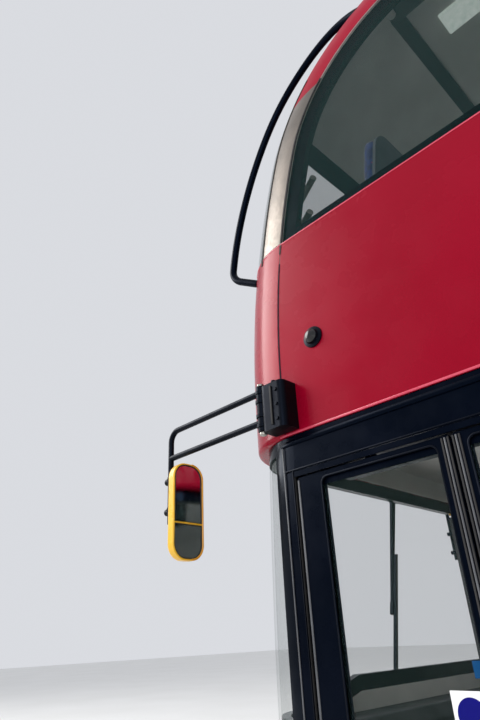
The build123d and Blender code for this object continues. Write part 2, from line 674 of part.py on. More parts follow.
with BuildPart() as front_axle:
    block((FRONT_AXLE_X - 60, -720, BEAM_Z[0]), (FRONT_AXLE_X + 60, 720, BEAM_Z[1]))
    for side in (1, -1):
        block((FRONT_AXLE_X - 60, side * 680, BEAM_Z[0]), (FRONT_AXLE_X + 60, side * 740, 395))
        block((FRONT_AXLE_X - 45, side * 680, 335), (FRONT_AXLE_X + 45, side * 990, 395))
save(front_axle, "front_axle")

with BuildPart() as rear_axle:
    block((REAR_AXLE_X - 70, -715, BEAM_Z[0]), (REAR_AXLE_X + 70, 715, BEAM_Z[1]))
    for side in (1, -1):
        block((REAR_AXLE_X - 70, side * 640, BEAM_Z[0]), (REAR_AXLE_X + 70, side * 715, 560))
        with Locations(Location((REAR_AXLE_X, side * 845, TYRE_R), (90, 0, 0))):
            Cylinder(55, 290)
save(rear_axle, "rear_axle")


def tyre_profile(centre_y):
    """Half section of a tyre in the plane of its axle: bead, bulging wall, round shoulder, flat crown."""
    half_w = TYRE_W / 2
    for way in (1, -1):
        bead = (RIM_R, centre_y + way * (half_w - 20))
        wall = (RIM_R + 85, centre_y + way * half_w)
        shoulder = (TYRE_R - 45, centre_y + way * (half_w - 8))
        tread = (TYRE_R, centre_y + way * (half_w - 42))
        Line(bead, wall)
        Line(wall, shoulder)
        Line(shoulder, tread)
        Line(tread, (TYRE_R, centre_y))
        Line(bead, (RIM_R, centre_y))


# Half sections of the wheel parts: (radius, offset out from the middle of the tyre)
BARREL = [
    (RIM_R, 118), (300, 124), (300, 132), (284, 134), (272, 118), (262, 60), (262, -60), (272, -118), (284, -134),
    (300, -132), (300, -124), (RIM_R, -118),
]
FRONT_DISC = [(270, 18), (246, 78), (208, 112), (90, 112), (90, 98), (202, 98), (234, 68), (258, 18)]
TWIN_DISC = [(256, -20), (232, -92), (198, -146), (90, -146), (90, -160), (208, -160), (246, -98), (270, -24)]
STUD_CIRCLE = 167.5
STUDS = 10
HAND_HOLE_CIRCLE = 233
wheels = [
    # name, axle x, way out, (centre of each tyre across the bus, way its disc faces), disc, hub ends, cap radius
    ("front_wheel_near", FRONT_AXLE_X, 1, [(WHEEL_Y, 1)], FRONT_DISC, (-70, 150), 82),
    ("front_wheel_off", FRONT_AXLE_X, -1, [(-WHEEL_Y, 1)], FRONT_DISC, (-70, 150), 82),
    ("rear_wheel_near", REAR_AXLE_X, 1, [(WHEEL_Y, 1), (WHEEL_Y - TWIN_STEP, -1)], TWIN_DISC, (-200, 0), 95),
    ("rear_wheel_off", REAR_AXLE_X, -1, [(-WHEEL_Y, 1), (TWIN_STEP - WHEEL_Y, -1)], TWIN_DISC, (-200, 0), 95),
]
for name, axle_x, side, tyres, disc, hub, cap_r in wheels:
    turn_plane = Plane(origin=(axle_x, 0, TYRE_R), x_dir=(0, 0, 1), z_dir=(-1, 0, 0))
    axle = Axis((axle_x, 0, TYRE_R), (0, 1, 0))
    with BuildPart() as tyre:
        with BuildSketch(turn_plane):
            for centre_y, way in tyres:
                with BuildLine():
                    tyre_profile(centre_y)
                make_face()
        revolve(axis=axle)
    save(tyre, name + "_tyre")
    near_end, far_end = [side * (WHEEL_Y + step) for step in hub]
    hub_section = [
        (62, near_end), (110, near_end), (110, far_end - side * 60), (cap_r, far_end - side * 40),
        (cap_r - 6, far_end), (0, far_end), (0, far_end - side * 90), (62, far_end - side * 90),
    ]
    sections = [hub_section]
    for centre_y, way in tyres:
        for section in (BARREL, disc):
            sections.append([(radius, centre_y + side * way * out) for radius, out in section])
    with BuildPart() as rim:
        for section in sections:
            with BuildSketch(turn_plane):
                with BuildLine():
                    Polyline(*section, close=True)
                make_face()
            revolve(axis=axle)
        disc_slope = (disc[0][1] + disc[2][1]) / 2
        stud_y = side * (WHEEL_Y + disc[2][1] + 14)
        for hole in range(STUDS):
            turn = radians(36 * hole)
            hole_x = axle_x + HAND_HOLE_CIRCLE * sin(turn)
            hole_z = TYRE_R + HAND_HOLE_CIRCLE * cos(turn)
            for centre_y, way in tyres:
                with Locations(Location((hole_x, centre_y + side * way * disc_slope, hole_z), (90, 0, 0))):
                    Cylinder(24, 110, mode=Mode.SUBTRACT)
            stud_x = axle_x + STUD_CIRCLE * sin(turn + radians(18))
            stud_z = TYRE_R + STUD_CIRCLE * cos(turn + radians(18))
            with Locations(Location((stud_x, stud_y, stud_z), (90, 0, 0))):
                Cylinder(15, 30)
    save(rim, name + "_rim")

for name, side in (("knuckle_near", 1), ("knuckle_off", -1)):
    with BuildPart() as knuckle:
        with Locations((FRONT_AXLE_X, side * KINGPIN_Y, TYRE_R)):
            Cylinder(40, 156)
        y_low, y_high = sorted((side * (KINGPIN_Y + 20), side * (WHEEL_Y + 40)))
        with Locations(Location((FRONT_AXLE_X, (y_low + y_high) / 2, TYRE_R), (90, 0, 0))):
            Cylinder(55, y_high - y_low)
    save(knuckle, name)

# A lug on the front end of each rail takes a towing pin across the bus
TOW_PIN = (FRONT_X - 95, 236)
TOW_BORE_R = 20
TOW_LUG_T = 30
with BuildPart() as tow_lugs:
    for side in (1, -1):
        with BuildSketch(Plane.XZ.offset(-side * 430 - TOW_LUG_T / 2)):
            with Locations(TOW_PIN):
                Circle(42)
            with Locations((TOW_PIN[0] - 27.5, TOW_PIN[1])):
                Rectangle(55, 84)
            with Locations(TOW_PIN):
                Circle(TOW_BORE_R, mode=Mode.SUBTRACT)
        extrude(amount=TOW_LUG_T)
save(tow_lugs, "tow_lugs")

# Cab

CAB_BACK_X = 3650
CAB_Y = -140
CAB_FLOOR_Z = 520
with BuildPart() as cab:
    block((CAB_BACK_X, -SPAN, FLOOR_Z), (4860, CAB_Y - 30, CAB_FLOOR_Z))
    block((CAB_BACK_X, -SPAN, CAB_FLOOR_Z), (CAB_BACK_X + 30, STAIR_Y, 1900))
    with BuildSketch(Plane.XZ.offset(-1180)) as fascia:
        with BuildLine():
            Polyline(
                (FRONT_X, FLOOR_Z), (4850, FLOOR_Z), (4845, 880), (4828, 960), (4836, 1080), (4880, 1130),
                (FRONT_X, 1130), close=True,
            )
        make_face()
        fillet(fascia.vertices().filter_by(lambda v: v.X < 4900 and v.Y > 1000), 22)
    extrude(fascia.sketch, amount=2360, dir=(0, -1, 0))
    with BuildSketch(Plane.XZ.offset(260)) as binnacle:
        with BuildLine():
            Polyline((4840, 860), (4640, 880), (4560, 960), (4590, 1090), (4700, 1150), (4840, 1150), close=True)
        make_face()
        fillet(binnacle.vertices().filter_by(lambda v: v.X < 4800), 30)
    extrude(binnacle.sketch, amount=920, dir=(0, -1, 0))
    with BuildSketch(Plane.XZ.offset(450)):
        with BuildLine():
            Polyline(
                (3900, CAB_FLOOR_Z), (4200, CAB_FLOOR_Z), (4180, 850), (4350, 870), (4350, 960), (4020, 960),
                (3900, 1650), (3800, 1640), (3880, 850), close=True,
            )
        make_face()
    extrude(amount=480)
    with BuildPart(mode=Mode.PRIVATE) as steering_wheel:
        with Locations(Location((4430, -690, 1210), (0, -25, 0))):
            Torus(225, 16)
            Cylinder(12, 24)
            Box(440, 30, 14)
            with Locations((0, 0, -140)):
                Cylinder(35, 280)
    add(steering_wheel.part)
    add(LOWER_INSIDE, mode=Mode.INTERSECT)
save(cab, "cab")

CAB_DOOR = (3690, 4320)
CAB_SCREEN_Z = 1950
HINGE_Z = (700, 1150, 1800)
HINGE_R = 9
with BuildPart() as cab_screen:
    block((CAB_DOOR[1] + 6, CAB_Y - 25, FLOOR_Z), (4824, CAB_Y, CAB_SCREEN_Z))
    block((CAB_DOOR[1] + 40, CAB_Y - 26, 1000), (4790, CAB_Y + 1, CAB_SCREEN_Z - 40), Mode.SUBTRACT)
    block((CAB_DOOR[1] + 40, CAB_Y - 16, 1000), (4790, CAB_Y - 8, CAB_SCREEN_Z - 40))
    block((CAB_BACK_X, STAIR_Y + 1, FLOOR_Z), (CAB_DOOR[0] - 16, CAB_Y, CAB_SCREEN_Z))
    for barrel_z in HINGE_Z:
        for fixed_z in (barrel_z - 66, barrel_z + 66):
            with Locations((CAB_DOOR[0], CAB_Y, fixed_z)):
                Cylinder(HINGE_R, 60)
            with Locations((CAB_DOOR[0] - 12, CAB_Y - 5, fixed_z)):
                Box(18, 8, 58)
    block((CAB_BACK_X - 1, STAIR_Y, FLOOR_Z - 1), (CAB_DOOR[0], CAB_Y - 25, CAB_FLOOR_Z), Mode.SUBTRACT)
save(cab_screen, "cab_screen")

with BuildPart() as cab_door:
    block((CAB_DOOR[0], CAB_Y - 25, CAB_FLOOR_Z + 10), (CAB_DOOR[1], CAB_Y, CAB_SCREEN_Z))
    block((CAB_DOOR[0] + 40, CAB_Y - 26, 1000), (CAB_DOOR[1] - 40, CAB_Y + 1, CAB_SCREEN_Z - 40), Mode.SUBTRACT)
    block((CAB_DOOR[0] + 40, CAB_Y - 16, 1000), (CAB_DOOR[1] - 40, CAB_Y - 8, CAB_SCREEN_Z - 40))
    for barrel_z in HINGE_Z:
        for low_z in (barrel_z - 97, barrel_z + 35):
            block((CAB_DOOR[0] - 1, CAB_Y - 15, low_z), (CAB_DOOR[0] + 14, CAB_Y + 1, low_z + 62), Mode.SUBTRACT)
        with Locations((CAB_DOOR[0], CAB_Y, barrel_z)):
            Cylinder(HINGE_R, 70)
save(cab_door, "cab_door")

# Seats and poles

SEAT_W = 860


def seat(hip_x, centre_y, floor_z, way=1, width=SEAT_W):
    """A double seat as one solid: pedestal, cushion and leaning back. way is the direction that it faces."""
    with BuildSketch(Plane.XZ.offset(width / 2 - centre_y)) as profile:
        with BuildLine():
            Polyline(
                (hip_x - way * 60, floor_z), (hip_x + way * 180, floor_z), (hip_x + way * 180, floor_z + 370),
                (hip_x + way * 400, floor_z + 390), (hip_x + way * 400, floor_z + 460), (hip_x, floor_z + 450),
                (hip_x - way * 110, floor_z + 1010), (hip_x - way * 180, floor_z + 1000),
                (hip_x - way * 60, floor_z + 370), close=True,
            )
        make_face()
        fillet(profile.vertices().filter_by(lambda v: v.Y > floor_z + 300), 28)
    extrude(profile.sketch, amount=width, dir=(0, 1, 0))


SEAT_Y = SPAN - 15 - SEAT_W / 2
lower_seats_table = [
    # hip x, centre y, floor z, way
    (1400, SEAT_Y, FLOOR_Z, 1),
    (700, SEAT_Y, FLOOR_Z, 1),
    (1400, -SEAT_Y, FLOOR_Z, 1),
    (700, -SEAT_Y, FLOOR_Z, 1),
    (-1300, SEAT_Y, FLOOR_Z, 1),
    (-2020, SEAT_Y, FLOOR_Z, 1),
    (-1300, -SEAT_Y, FLOOR_Z, 1),
    (-2020, -SEAT_Y, FLOOR_Z, 1),
    (-4000, SEAT_Y, CASING_Z, 1),
    (-4000, -SEAT_Y, CASING_Z, 1),
    (-4880, SEAT_Y, CASING_Z, 1),
    (-4880, -SEAT_Y, CASING_Z, 1),
]
with BuildPart() as lower_seats:
    for row in lower_seats_table:
        seat(*row)
save(lower_seats, "lower_seats")

with BuildPart() as upper_seats:
    for index in range(12):
        seat_x = 4330 - index * 810
        seat(seat_x, SEAT_Y, UPPER_FLOOR_Z)
        if seat_x > STAIR_FOOT_X + 300 or seat_x < STAIR_HEAD_X - 450:
            seat(seat_x, -SEAT_Y, UPPER_FLOOR_Z)
save(upper_seats, "upper_seats")

UPPER_CEILING_Z = ROOF_Z - WALL
poles_table = [
    # x, y, foot z, head z
    (3180, 560, FLOOR_Z, UPPER_FLOOR_Z - UPPER_FLOOR_T),
    (1830, 330, FLOOR_Z, UPPER_FLOOR_Z - UPPER_FLOOR_T),
    (1220, 330, FLOOR_Z, UPPER_FLOOR_Z - UPPER_FLOOR_T),
    (1220, -330, FLOOR_Z, UPPER_FLOOR_Z - UPPER_FLOOR_T),
    (480, 320, FLOOR_Z, UPPER_FLOOR_Z - UPPER_FLOOR_T),
    (-960, 320, FLOOR_Z, UPPER_FLOOR_Z - UPPER_FLOOR_T),
    (-960, -330, FLOOR_Z, UPPER_FLOOR_Z - UPPER_FLOOR_T),
    (-2260, 330, FLOOR_Z, UPPER_FLOOR_Z - UPPER_FLOOR_T),
    (-2260, -330, FLOOR_Z, UPPER_FLOOR_Z - UPPER_FLOOR_T),
    (-3620, 330, CASING_Z, UPPER_FLOOR_Z - UPPER_FLOOR_T),
    (-3620, -330, CASING_Z, UPPER_FLOOR_Z - UPPER_FLOOR_T),
    (3700, 330, UPPER_FLOOR_Z, UPPER_CEILING_Z),
    (2280, 330, UPPER_FLOOR_Z, UPPER_CEILING_Z),
    (660, -330, UPPER_FLOOR_Z, UPPER_CEILING_Z),
    (-960, 330, UPPER_FLOOR_Z, UPPER_CEILING_Z),
    (-2580, -330, UPPER_FLOOR_Z, UPPER_CEILING_Z),
]
with BuildPart() as poles:
    for pole_x, pole_y, foot_z, head_z in poles_table:
        with Locations((pole_x, pole_y, (foot_z + head_z) / 2)):
            Cylinder(16, head_z - foot_z)
    well_z = UPPER_FLOOR_Z + 900
    block((STAIR_HEAD_X, STAIR_Y + 5, UPPER_FLOOR_Z), (STAIR_FOOT_X + 25, STAIR_Y + 30, well_z))
    block((STAIR_FOOT_X, -1190, UPPER_FLOOR_Z), (STAIR_FOOT_X + 25, STAIR_Y + 30, well_z))
save(poles, "poles_and_rails")

# Mirrors and tree guard


def tube(points, bend, radius):
    """A round bar along a path of straight runs joined by bends."""
    with BuildLine() as path:
        FilletPolyline(*points, radius=bend)
    with BuildSketch(Plane(origin=path.line @ 0, z_dir=path.line % 0)) as section:
        Circle(radius)
    sweep(section.sketch, path=path.line)


MIRROR_Y = 1335
MIRROR_BACK_X = FRONT_X + 312
MIRROR_TUBE_R = 13
HEAD_X = (FRONT_X + 205, FRONT_X + 257)
HEAD_Y = 1318
HEAD_SIZE = (164, 410)
HEAD_MID_Z = 1915
BRACKET_X = (FRONT_X - 400, FRONT_X - 300)
with BuildPart() as mirror_arms:
    for side in (1, -1):
        arm_y = side * MIRROR_Y
        with BuildSketch(Plane.XY.offset(2115)):
            with Locations((BRACKET_X[0] + 50, side * (HALF_WIDTH + 42))):
                RectangleRounded(120, 84, 26)
        extrude(amount=190)
        block((BRACKET_X[0] - 10, side * HALF_WIDTH, 2115), (BRACKET_X[1] + 10, side * (HALF_WIDTH + 30), 2305))
        with Locations((BRACKET_X[1] + 22, arm_y, 2222)):
            Cylinder(20, 190)
        with Locations((BRACKET_X[0] + 50, arm_y, 2312)):
            Cylinder(11, 16)
        top = [(BRACKET_X[1], arm_y, 2292), (MIRROR_BACK_X, arm_y, 2292), (MIRROR_BACK_X, arm_y, 1872)]
        tube(top, 50, MIRROR_TUBE_R)
        low_x = (BRACKET_X[1], MIRROR_BACK_X)
        with Locations(Location((sum(low_x) / 2, arm_y, 2166), (0, 90, 0))):
            Cylinder(MIRROR_TUBE_R, low_x[1] - low_x[0])
        for clamp_z in (1925, 2060):
            block((HEAD_X[1], arm_y - 19, clamp_z - 17), (MIRROR_BACK_X, arm_y + 19, clamp_z + 17))
            with Locations(Location((MIRROR_BACK_X + 14, arm_y, clamp_z), (0, 90, 0))):
                Cylinder(14, 28)
save(mirror_arms, "mirror_arms")

# A head holds a flat glass over a smaller wide-angle glass, both sunk in its rear face
HEAD_RIM = 9
HEAD_CORNER = 66
GLASS_SPLIT_Z = 1860
glass_rows = [
    # low z, high z
    (GLASS_SPLIT_Z + 5, HEAD_MID_Z + HEAD_SIZE[1] / 2),
    (HEAD_MID_Z - HEAD_SIZE[1] / 2, GLASS_SPLIT_Z - 5),
]


def glass_area(side, low_z, high_z, shrink):
    """The head's outline, drawn in by shrink, between two heights."""
    with BuildSketch(mode=Mode.PRIVATE) as area:
        with Locations((side * HEAD_Y, HEAD_MID_Z)):
            RectangleRounded(HEAD_SIZE[0] - 2 * shrink, HEAD_SIZE[1] - 2 * shrink, HEAD_CORNER - shrink)
        with Locations((side * HEAD_Y, (low_z + high_z) / 2)):
            Rectangle(400, high_z - low_z, mode=Mode.INTERSECT)
    return area.sketch


with BuildPart() as mirror_heads:
    for side in (1, -1):
        with BuildSketch(Plane.YZ.offset(HEAD_X[0])):
            with Locations((side * HEAD_Y, HEAD_MID_Z)):
                RectangleRounded(*HEAD_SIZE, HEAD_CORNER)
        extrude(amount=HEAD_X[1] - HEAD_X[0])
    fillet(mirror_heads.faces().filter_by(Axis.X).group_by(Axis.X)[-1].edges(), 24)
    fillet(mirror_heads.faces().filter_by(Axis.X).group_by(Axis.X)[0].edges(), 5)
    for side in (1, -1):
        with BuildSketch(Plane.YZ.offset(HEAD_X[0])):
            for low_z, high_z in glass_rows:
                add(glass_area(side, low_z, high_z, HEAD_RIM))
        extrude(amount=8, mode=Mode.SUBTRACT)
    for side in (1, -1):
        with BuildSketch(Plane.YZ.offset(HEAD_X[0] + 3)):
            for low_z, high_z in glass_rows:
                add(glass_area(side, low_z + 1, high_z - 1, HEAD_RIM + 1))
        extrude(amount=4)
save(mirror_heads, "mirror_heads")

# Wipers hang from spindles under the lip. They swing in a plane that stands clear of the screen.
WIPER_TOP_Z = 2068
SCREEN_MID_Z = 1575
screen_lean = asin((SCREEN_MID_Z - NOSE_Z) / NOSE_R)
screen_mid_x = NOSE_X - NOSE_R + NOSE_R * cos(screen_lean)
WIPER_CLEAR = 8
wipers = [
    # name, spindle y, length, blade start, lean of the parked arm
    ("wiper_near", 40, 1015, 300, 14),
    ("wiper_off", -960, 900, 240, 10),
]
wiper_normal = Vector(cos(screen_lean), 0, sin(screen_lean))
spindle_x = screen_mid_x - (WIPER_TOP_Z - SCREEN_MID_Z) * sin(screen_lean) / cos(screen_lean)
with BuildPart() as wiper_spindles:
    for name, spindle_y, length, blade_start, lean in wipers:
        foot = Vector(spindle_x, spindle_y, WIPER_TOP_Z)
        spindle_plane = Plane(origin=foot, x_dir=(0, 1, 0), z_dir=wiper_normal)
        with BuildSketch(spindle_plane.offset(1)):
            Circle(PIN_R)
        extrude(amount=52)
        with BuildSketch(spindle_plane.offset(1)):
            RectangleRounded(64, 34, 10)
        extrude(amount=18)
        block((foot.X + 2, spindle_y - 28, WIPER_TOP_Z + 10), (foot.X + 24, spindle_y + 28, DECK_Z))
save(wiper_spindles, "wiper_spindles")

for name, spindle_y, length, blade_start, lean in wipers:
    foot = Vector(spindle_x, spindle_y, WIPER_TOP_Z)
    turn = radians(lean)
    across = Vector(-sin(turn) * sin(screen_lean), cos(turn), sin(turn) * cos(screen_lean))
    arm_plane = Plane(origin=foot, x_dir=across, z_dir=wiper_normal)
    with BuildPart() as wiper:
        with BuildSketch(arm_plane.offset(26)):
            Circle(22)
            with BuildLine():
                Polyline((-19, 0), (19, 0), (6, -0.58 * length), (-6, -0.58 * length), close=True)
            make_face()
            Circle(PIN_R + 0.5, mode=Mode.SUBTRACT)
        extrude(amount=13)
        with BuildSketch(arm_plane.offset(WIPER_CLEAR)):
            with Locations((0, -(blade_start + length) / 2)):
                RectangleRounded(12, length - blade_start, 5)
        extrude(amount=14)
        with BuildSketch(arm_plane.offset(WIPER_CLEAR + 13)):
            with Locations((0, -0.56 * length)):
                RectangleRounded(22, 60, 6)
        extrude(amount=18)
    save(wiper, name)

# The guard leaves the corner on a straight foot, bends up sharply and follows the brow in one long curve
guard_foot = [(FRONT_X - 120, 1130, 3008), (FRONT_X - 14, 1141, 3074)]
guard_run = [
    (FRONT_X + 34, 1149, 3165),
    (FRONT_X + 7, 1149, 3294),
    (FRONT_X - 81, 1150, 3554),
    (FRONT_X - 225, 1151, 3830),
    (FRONT_X - 385, 1154, 4030),
    (FRONT_X - 570, 1165, 4150),
    (FRONT_X - 780, 1195, 4180),
    (FRONT_X - 1020, 1235, 4080),
]
with BuildPart() as tree_guard:
    with BuildLine() as guard_path:
        foot = Line(*guard_foot)
        run = Spline(*guard_run)
        Spline(foot @ 1, run @ 0, tangents=(foot % 1, run % 0))
    with BuildSketch(Plane(origin=foot @ 0, z_dir=foot % 0)):
        Circle(19)
    sweep(path=guard_path.wires()[0])
    add(UPPER_SOLID, mode=Mode.SUBTRACT)
save(tree_guard, "tree_guard")

DOME_AT = (FRONT_X - SEAM - 186, HALF_WIDTH, 2466)
with BuildPart() as camera_dome:
    with BuildSketch(Plane(origin=DOME_AT, x_dir=(1, 0, 0), z_dir=(0, 0, 1))) as dome_half:
        with BuildLine():
            Polyline((0, 0), (44, 0), (44, 6), (32, 9), (28, 20), (16, 31), (0, 34), close=True)
        make_face()
    revolve(dome_half.sketch, axis=Axis(DOME_AT, (0, 1, 0)))
save(camera_dome, "camera_dome")
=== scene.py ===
import math
from itertools import product

import bmesh
import bpy
from mathutils import Matrix, Vector


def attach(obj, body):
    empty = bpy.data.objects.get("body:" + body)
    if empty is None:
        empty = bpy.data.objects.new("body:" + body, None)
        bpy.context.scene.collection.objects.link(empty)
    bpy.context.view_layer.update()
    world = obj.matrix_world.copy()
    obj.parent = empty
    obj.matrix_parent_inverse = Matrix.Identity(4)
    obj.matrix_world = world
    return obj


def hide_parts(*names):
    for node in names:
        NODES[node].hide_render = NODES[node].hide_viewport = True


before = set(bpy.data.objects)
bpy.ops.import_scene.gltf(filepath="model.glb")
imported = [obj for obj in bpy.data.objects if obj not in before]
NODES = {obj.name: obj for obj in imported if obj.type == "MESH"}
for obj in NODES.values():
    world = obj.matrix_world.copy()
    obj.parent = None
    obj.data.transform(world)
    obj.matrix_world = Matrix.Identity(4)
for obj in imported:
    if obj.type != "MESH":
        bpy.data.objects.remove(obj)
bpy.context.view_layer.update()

BODY = "bus_body"
SIDES = (1, -1)  # nearside, offside

# Sizes repeated from the CAD source, in metres. x runs forward, y to the nearside, z up.
FRONT_X, REAR_X, HALF = 5.080, -5.420, 1.275
SKIRT_Z, BUMPER_Z, DECK_Z, UPPER_WAIST_Z, ROOF_Z = 0.280, 0.520, 2.100, 3.010, 4.340
BROW_Z, BROW_R, BROW_TURN = 2.300, 4.000, math.radians(19)
CORNER_R, LOWER_CORNER_R = 0.330, 0.300
DOME_R = (ROOF_Z - BROW_Z - BROW_R * math.sin(BROW_TURN)) / (1 - math.sin(BROW_TURN))
DOME_X = FRONT_X - BROW_R + (BROW_R - DOME_R) * math.cos(BROW_TURN)
DOME_Z = BROW_Z + (BROW_R - DOME_R) * math.sin(BROW_TURN)
NOSE_X, NOSE_Z, NOSE_R = FRONT_X - 0.024, 0.600, 22.0
SCREEN_MID_Z = 1.575
SEAM = 0.338
FRONT_DOOR, CENTRE_DOOR = (4.720, 3.490), (0.370, -0.860)
POST_X = FRONT_X - 0.310
FRONT_AXLE_X, REAR_AXLE_X, WHEEL_Y, TYRE_R = 2.500, -2.900, 1.110, 0.480
FLOOR_Z, CASING_Z, UPPER_FLOOR_Z = 0.340, 1.000, 2.320
LOWER_CEILING_Z, UPPER_CEILING_Z = 2.260, 4.295
LEAF_T, LEAF_Y, LEAF_LENGTH, LEAF_Z = 0.032, 1.252, 0.602, (0.367, 1.933)
PANE_HALF = 0.004
MIRROR_HEAD = Vector((5.285, 1.318, 1.915))
MIRROR_PIN_X, MIRROR_PIN_Y = 4.802, 1.335
CAMERA_DOME = Vector((FRONT_X - SEAM - 0.186, HALF, 2.466))

# Camera, at the photograph's viewing angle
FRAME_HEIGHT_MM, LENS_MM = 36.0, 27.05
CAMERA_AT = (3.440, 2.810, 1.410)
CAMERA_TURN = (117.3732, 2.4651, -133.7807)

camera_data = bpy.data.cameras.new("camera")
camera_data.sensor_fit = "VERTICAL"
camera_data.sensor_height = FRAME_HEIGHT_MM
camera_data.lens = LENS_MM
camera = bpy.data.objects.new("camera", camera_data)
camera.location = CAMERA_AT
camera.rotation_euler = [math.radians(angle) for angle in CAMERA_TURN]
bpy.context.scene.collection.objects.link(camera)
bpy.context.scene.camera = camera
bpy.context.scene.view_settings.view_transform = "Standard"


# Materials. Colours are given as they show on the screen, 0 to 255.

FILM_TOP = 1.25  # the road film fades out at this height
MIX_FACTOR, MIX_A, MIX_B, MIX_RESULT = 0, 6, 7, 2  # a Mix node's sockets for colours


def srgb(*colour):
    """A screen colour as a shader socket takes it."""
    shares = [value / 255 for value in colour]
    return (*(v / 12.92 if v <= 0.04045 else ((v + 0.055) / 1.055) ** 2.4 for v in shares), 1.0)


class Paint:
    """A Principled material with a few helpers for procedural colour, roughness and bump."""

    def __init__(self, name, rough, metal=0.0, coat=0.0, **sockets):
        self.mat = bpy.data.materials.new(name)
        self.mat.use_nodes = True
        self.tree = self.mat.node_tree
        self.shader = self.tree.nodes["Principled BSDF"]
        sockets |= {"Roughness": rough, "Metallic": metal, "Coat_Weight": coat}
        for key, value in sockets.items():
            value = srgb(*value) if isinstance(value, tuple) else value
            self.shader.inputs[key.replace("_", " ")].default_value = value
        self.coords = self.node("ShaderNodeTexCoord")

    def node(self, kind, **values):
        made = self.tree.nodes.new(kind)
        for key, value in values.items():
            setattr(made, key, value)
        return made

    def link(self, a, b):
        self.tree.links.new(a, b)

    def texture(self, kind, stretch=(1, 1, 1), turn=(0, 0, 0), **inputs):
        """A texture node over the object's own coordinates, stretched and turned."""
        mapping = self.node("ShaderNodeMapping")
        mapping.inputs["Scale"].default_value = stretch
        mapping.inputs["Rotation"].default_value = turn
        self.link(self.coords.outputs["Object"], mapping.inputs["Vector"])
        made = self.node(kind)
        for key, value in inputs.items():
            made.inputs[key].default_value = value
        self.link(mapping.outputs["Vector"], made.inputs["Vector"])
        return made

    def noise(self, scale, detail=3.0, rough=0.5, **placing):
        made = self.texture("ShaderNodeTexNoise", Scale=scale, Detail=detail, Roughness=rough, **placing)
        return made.outputs["Fac"]

    def cells(self, scale):
        return self.texture("ShaderNodeTexVoronoi", Scale=scale).outputs["Distance"]

    def ramp(self, fac, *stops):
        """fac through stops of (place, colour or grey level)."""
        made = self.node("ShaderNodeValToRGB")
        elements = made.color_ramp.elements
        while len(elements) < len(stops):
            elements.new(0.5)
        for element, (at, value) in zip(elements, stops):
            element.position = at
            element.color = srgb(*value) if isinstance(value, tuple) else (value, value, value, 1)
        self.link(fac, made.inputs["Fac"])
        return made.outputs["Color"]

    def math(self, operation, a, b, clamp=False):
        made = self.node("ShaderNodeMath", operation=operation, use_clamp=clamp)
        for socket, value in zip(made.inputs, (a, b)):
            if isinstance(value, (int, float)):
                socket.default_value = value
            else:
                self.link(value, socket)
        return made.outputs[0]

    def cover(self, fac, under, colour):
        """A colour laid over another by fac."""
        made = self.node("ShaderNodeMix", data_type="RGBA")
        self.link(fac, made.inputs[MIX_FACTOR])
        self.link(under, made.inputs[MIX_A])
        made.inputs[MIX_B].default_value = srgb(*colour)
        return made.outputs[MIX_RESULT]

    def colour(self, socket):
        self.link(socket, self.shader.inputs["Base Color"])

    def rough(self, socket):
        self.link(socket, self.shader.inputs["Roughness"])

    def bump(self, height, strength, distance):
        made = self.node("ShaderNodeBump")
        made.inputs["Strength"].default_value = strength
        made.inputs["Distance"].default_value = distance
        self.link(height, made.inputs["Height"])
        self.link(made.outputs["Normal"], self.shader.inputs["Normal"])


def coach_paint(name, main, light, dusty=0.5, coat=0.12, rough=(0.2, 0.36)):
    """Gloss coach paint: slow colour drift, hairline scratches, road film towards the skirt."""
    p = Paint(name, rough=0.3, coat=coat, Coat_Roughness=0.08, Specular_IOR_Level=0.2,
              Specular_Tint=(255, 120, 135))
    drift = p.ramp(p.noise(0.9, 4.0), (0.3, main), (0.75, light))
    hair = p.noise(22.0, 5.0, 0.7, stretch=(1.0, 1.0, 14.0), turn=(0.0, 0.7, 0.0))
    scratched = p.cover(p.ramp(hair, (0.62, 0.0), (0.76, 0.16)), drift, light)
    at = p.node("ShaderNodeSeparateXYZ")
    p.link(p.coords.outputs["Object"], at.inputs[0])
    low = p.math("MULTIPLY", p.math("SUBTRACT", FILM_TOP, at.outputs["Z"]), 0.9, clamp=True)
    film = p.math("MULTIPLY", p.math("MULTIPLY", low, p.noise(3.0, 6.0)), dusty, clamp=True)
    p.colour(p.cover(film, scratched, (120, 104, 96)))
    p.rough(p.ramp(p.noise(6.0, 5.0), (0.3, rough[0]), (0.8, rough[1])))
    p.bump(p.noise(260.0, 2.0), 0.06, 0.0006)
    return p.mat


def plastic(name, main, light, rough=0.45, grain=900.0, depth=0.2, shine=0.5, sheen=(255, 255, 255)):
    """Moulded plastic with a fine grain and faint wear."""
    p = Paint(name, rough=rough, Specular_IOR_Level=shine, Specular_Tint=sheen)
    p.colour(p.ramp(p.noise(5.0, 5.0), (0.35, main), (0.8, light)))
    p.rough(p.ramp(p.noise(12.0, 4.0), (0.3, rough - 0.08), (0.8, rough + 0.12)))
    p.bump(p.noise(grain, 2.0), depth, 0.0004)
    return p.mat


def glass(name, main, light, clear):
    """Thin glazing: mostly see-through face on, mirror-like at a glancing angle."""
    p = Paint(name, rough=0.02, Specular_IOR_Level=0.4, Specular_Tint=(200, 236, 232))
    p.colour(p.ramp(p.noise(0.6, 2.0), (0.3, main), (0.9, light)))
    facing = p.node("ShaderNodeLayerWeight")
    facing.inputs["Blend"].default_value = 0.25
    alpha = p.ramp(facing.outputs["Facing"], (0.0, clear), (0.55, clear + 0.08), (1.0, 0.6))
    p.link(alpha, p.shader.inputs["Alpha"])
    return p.mat


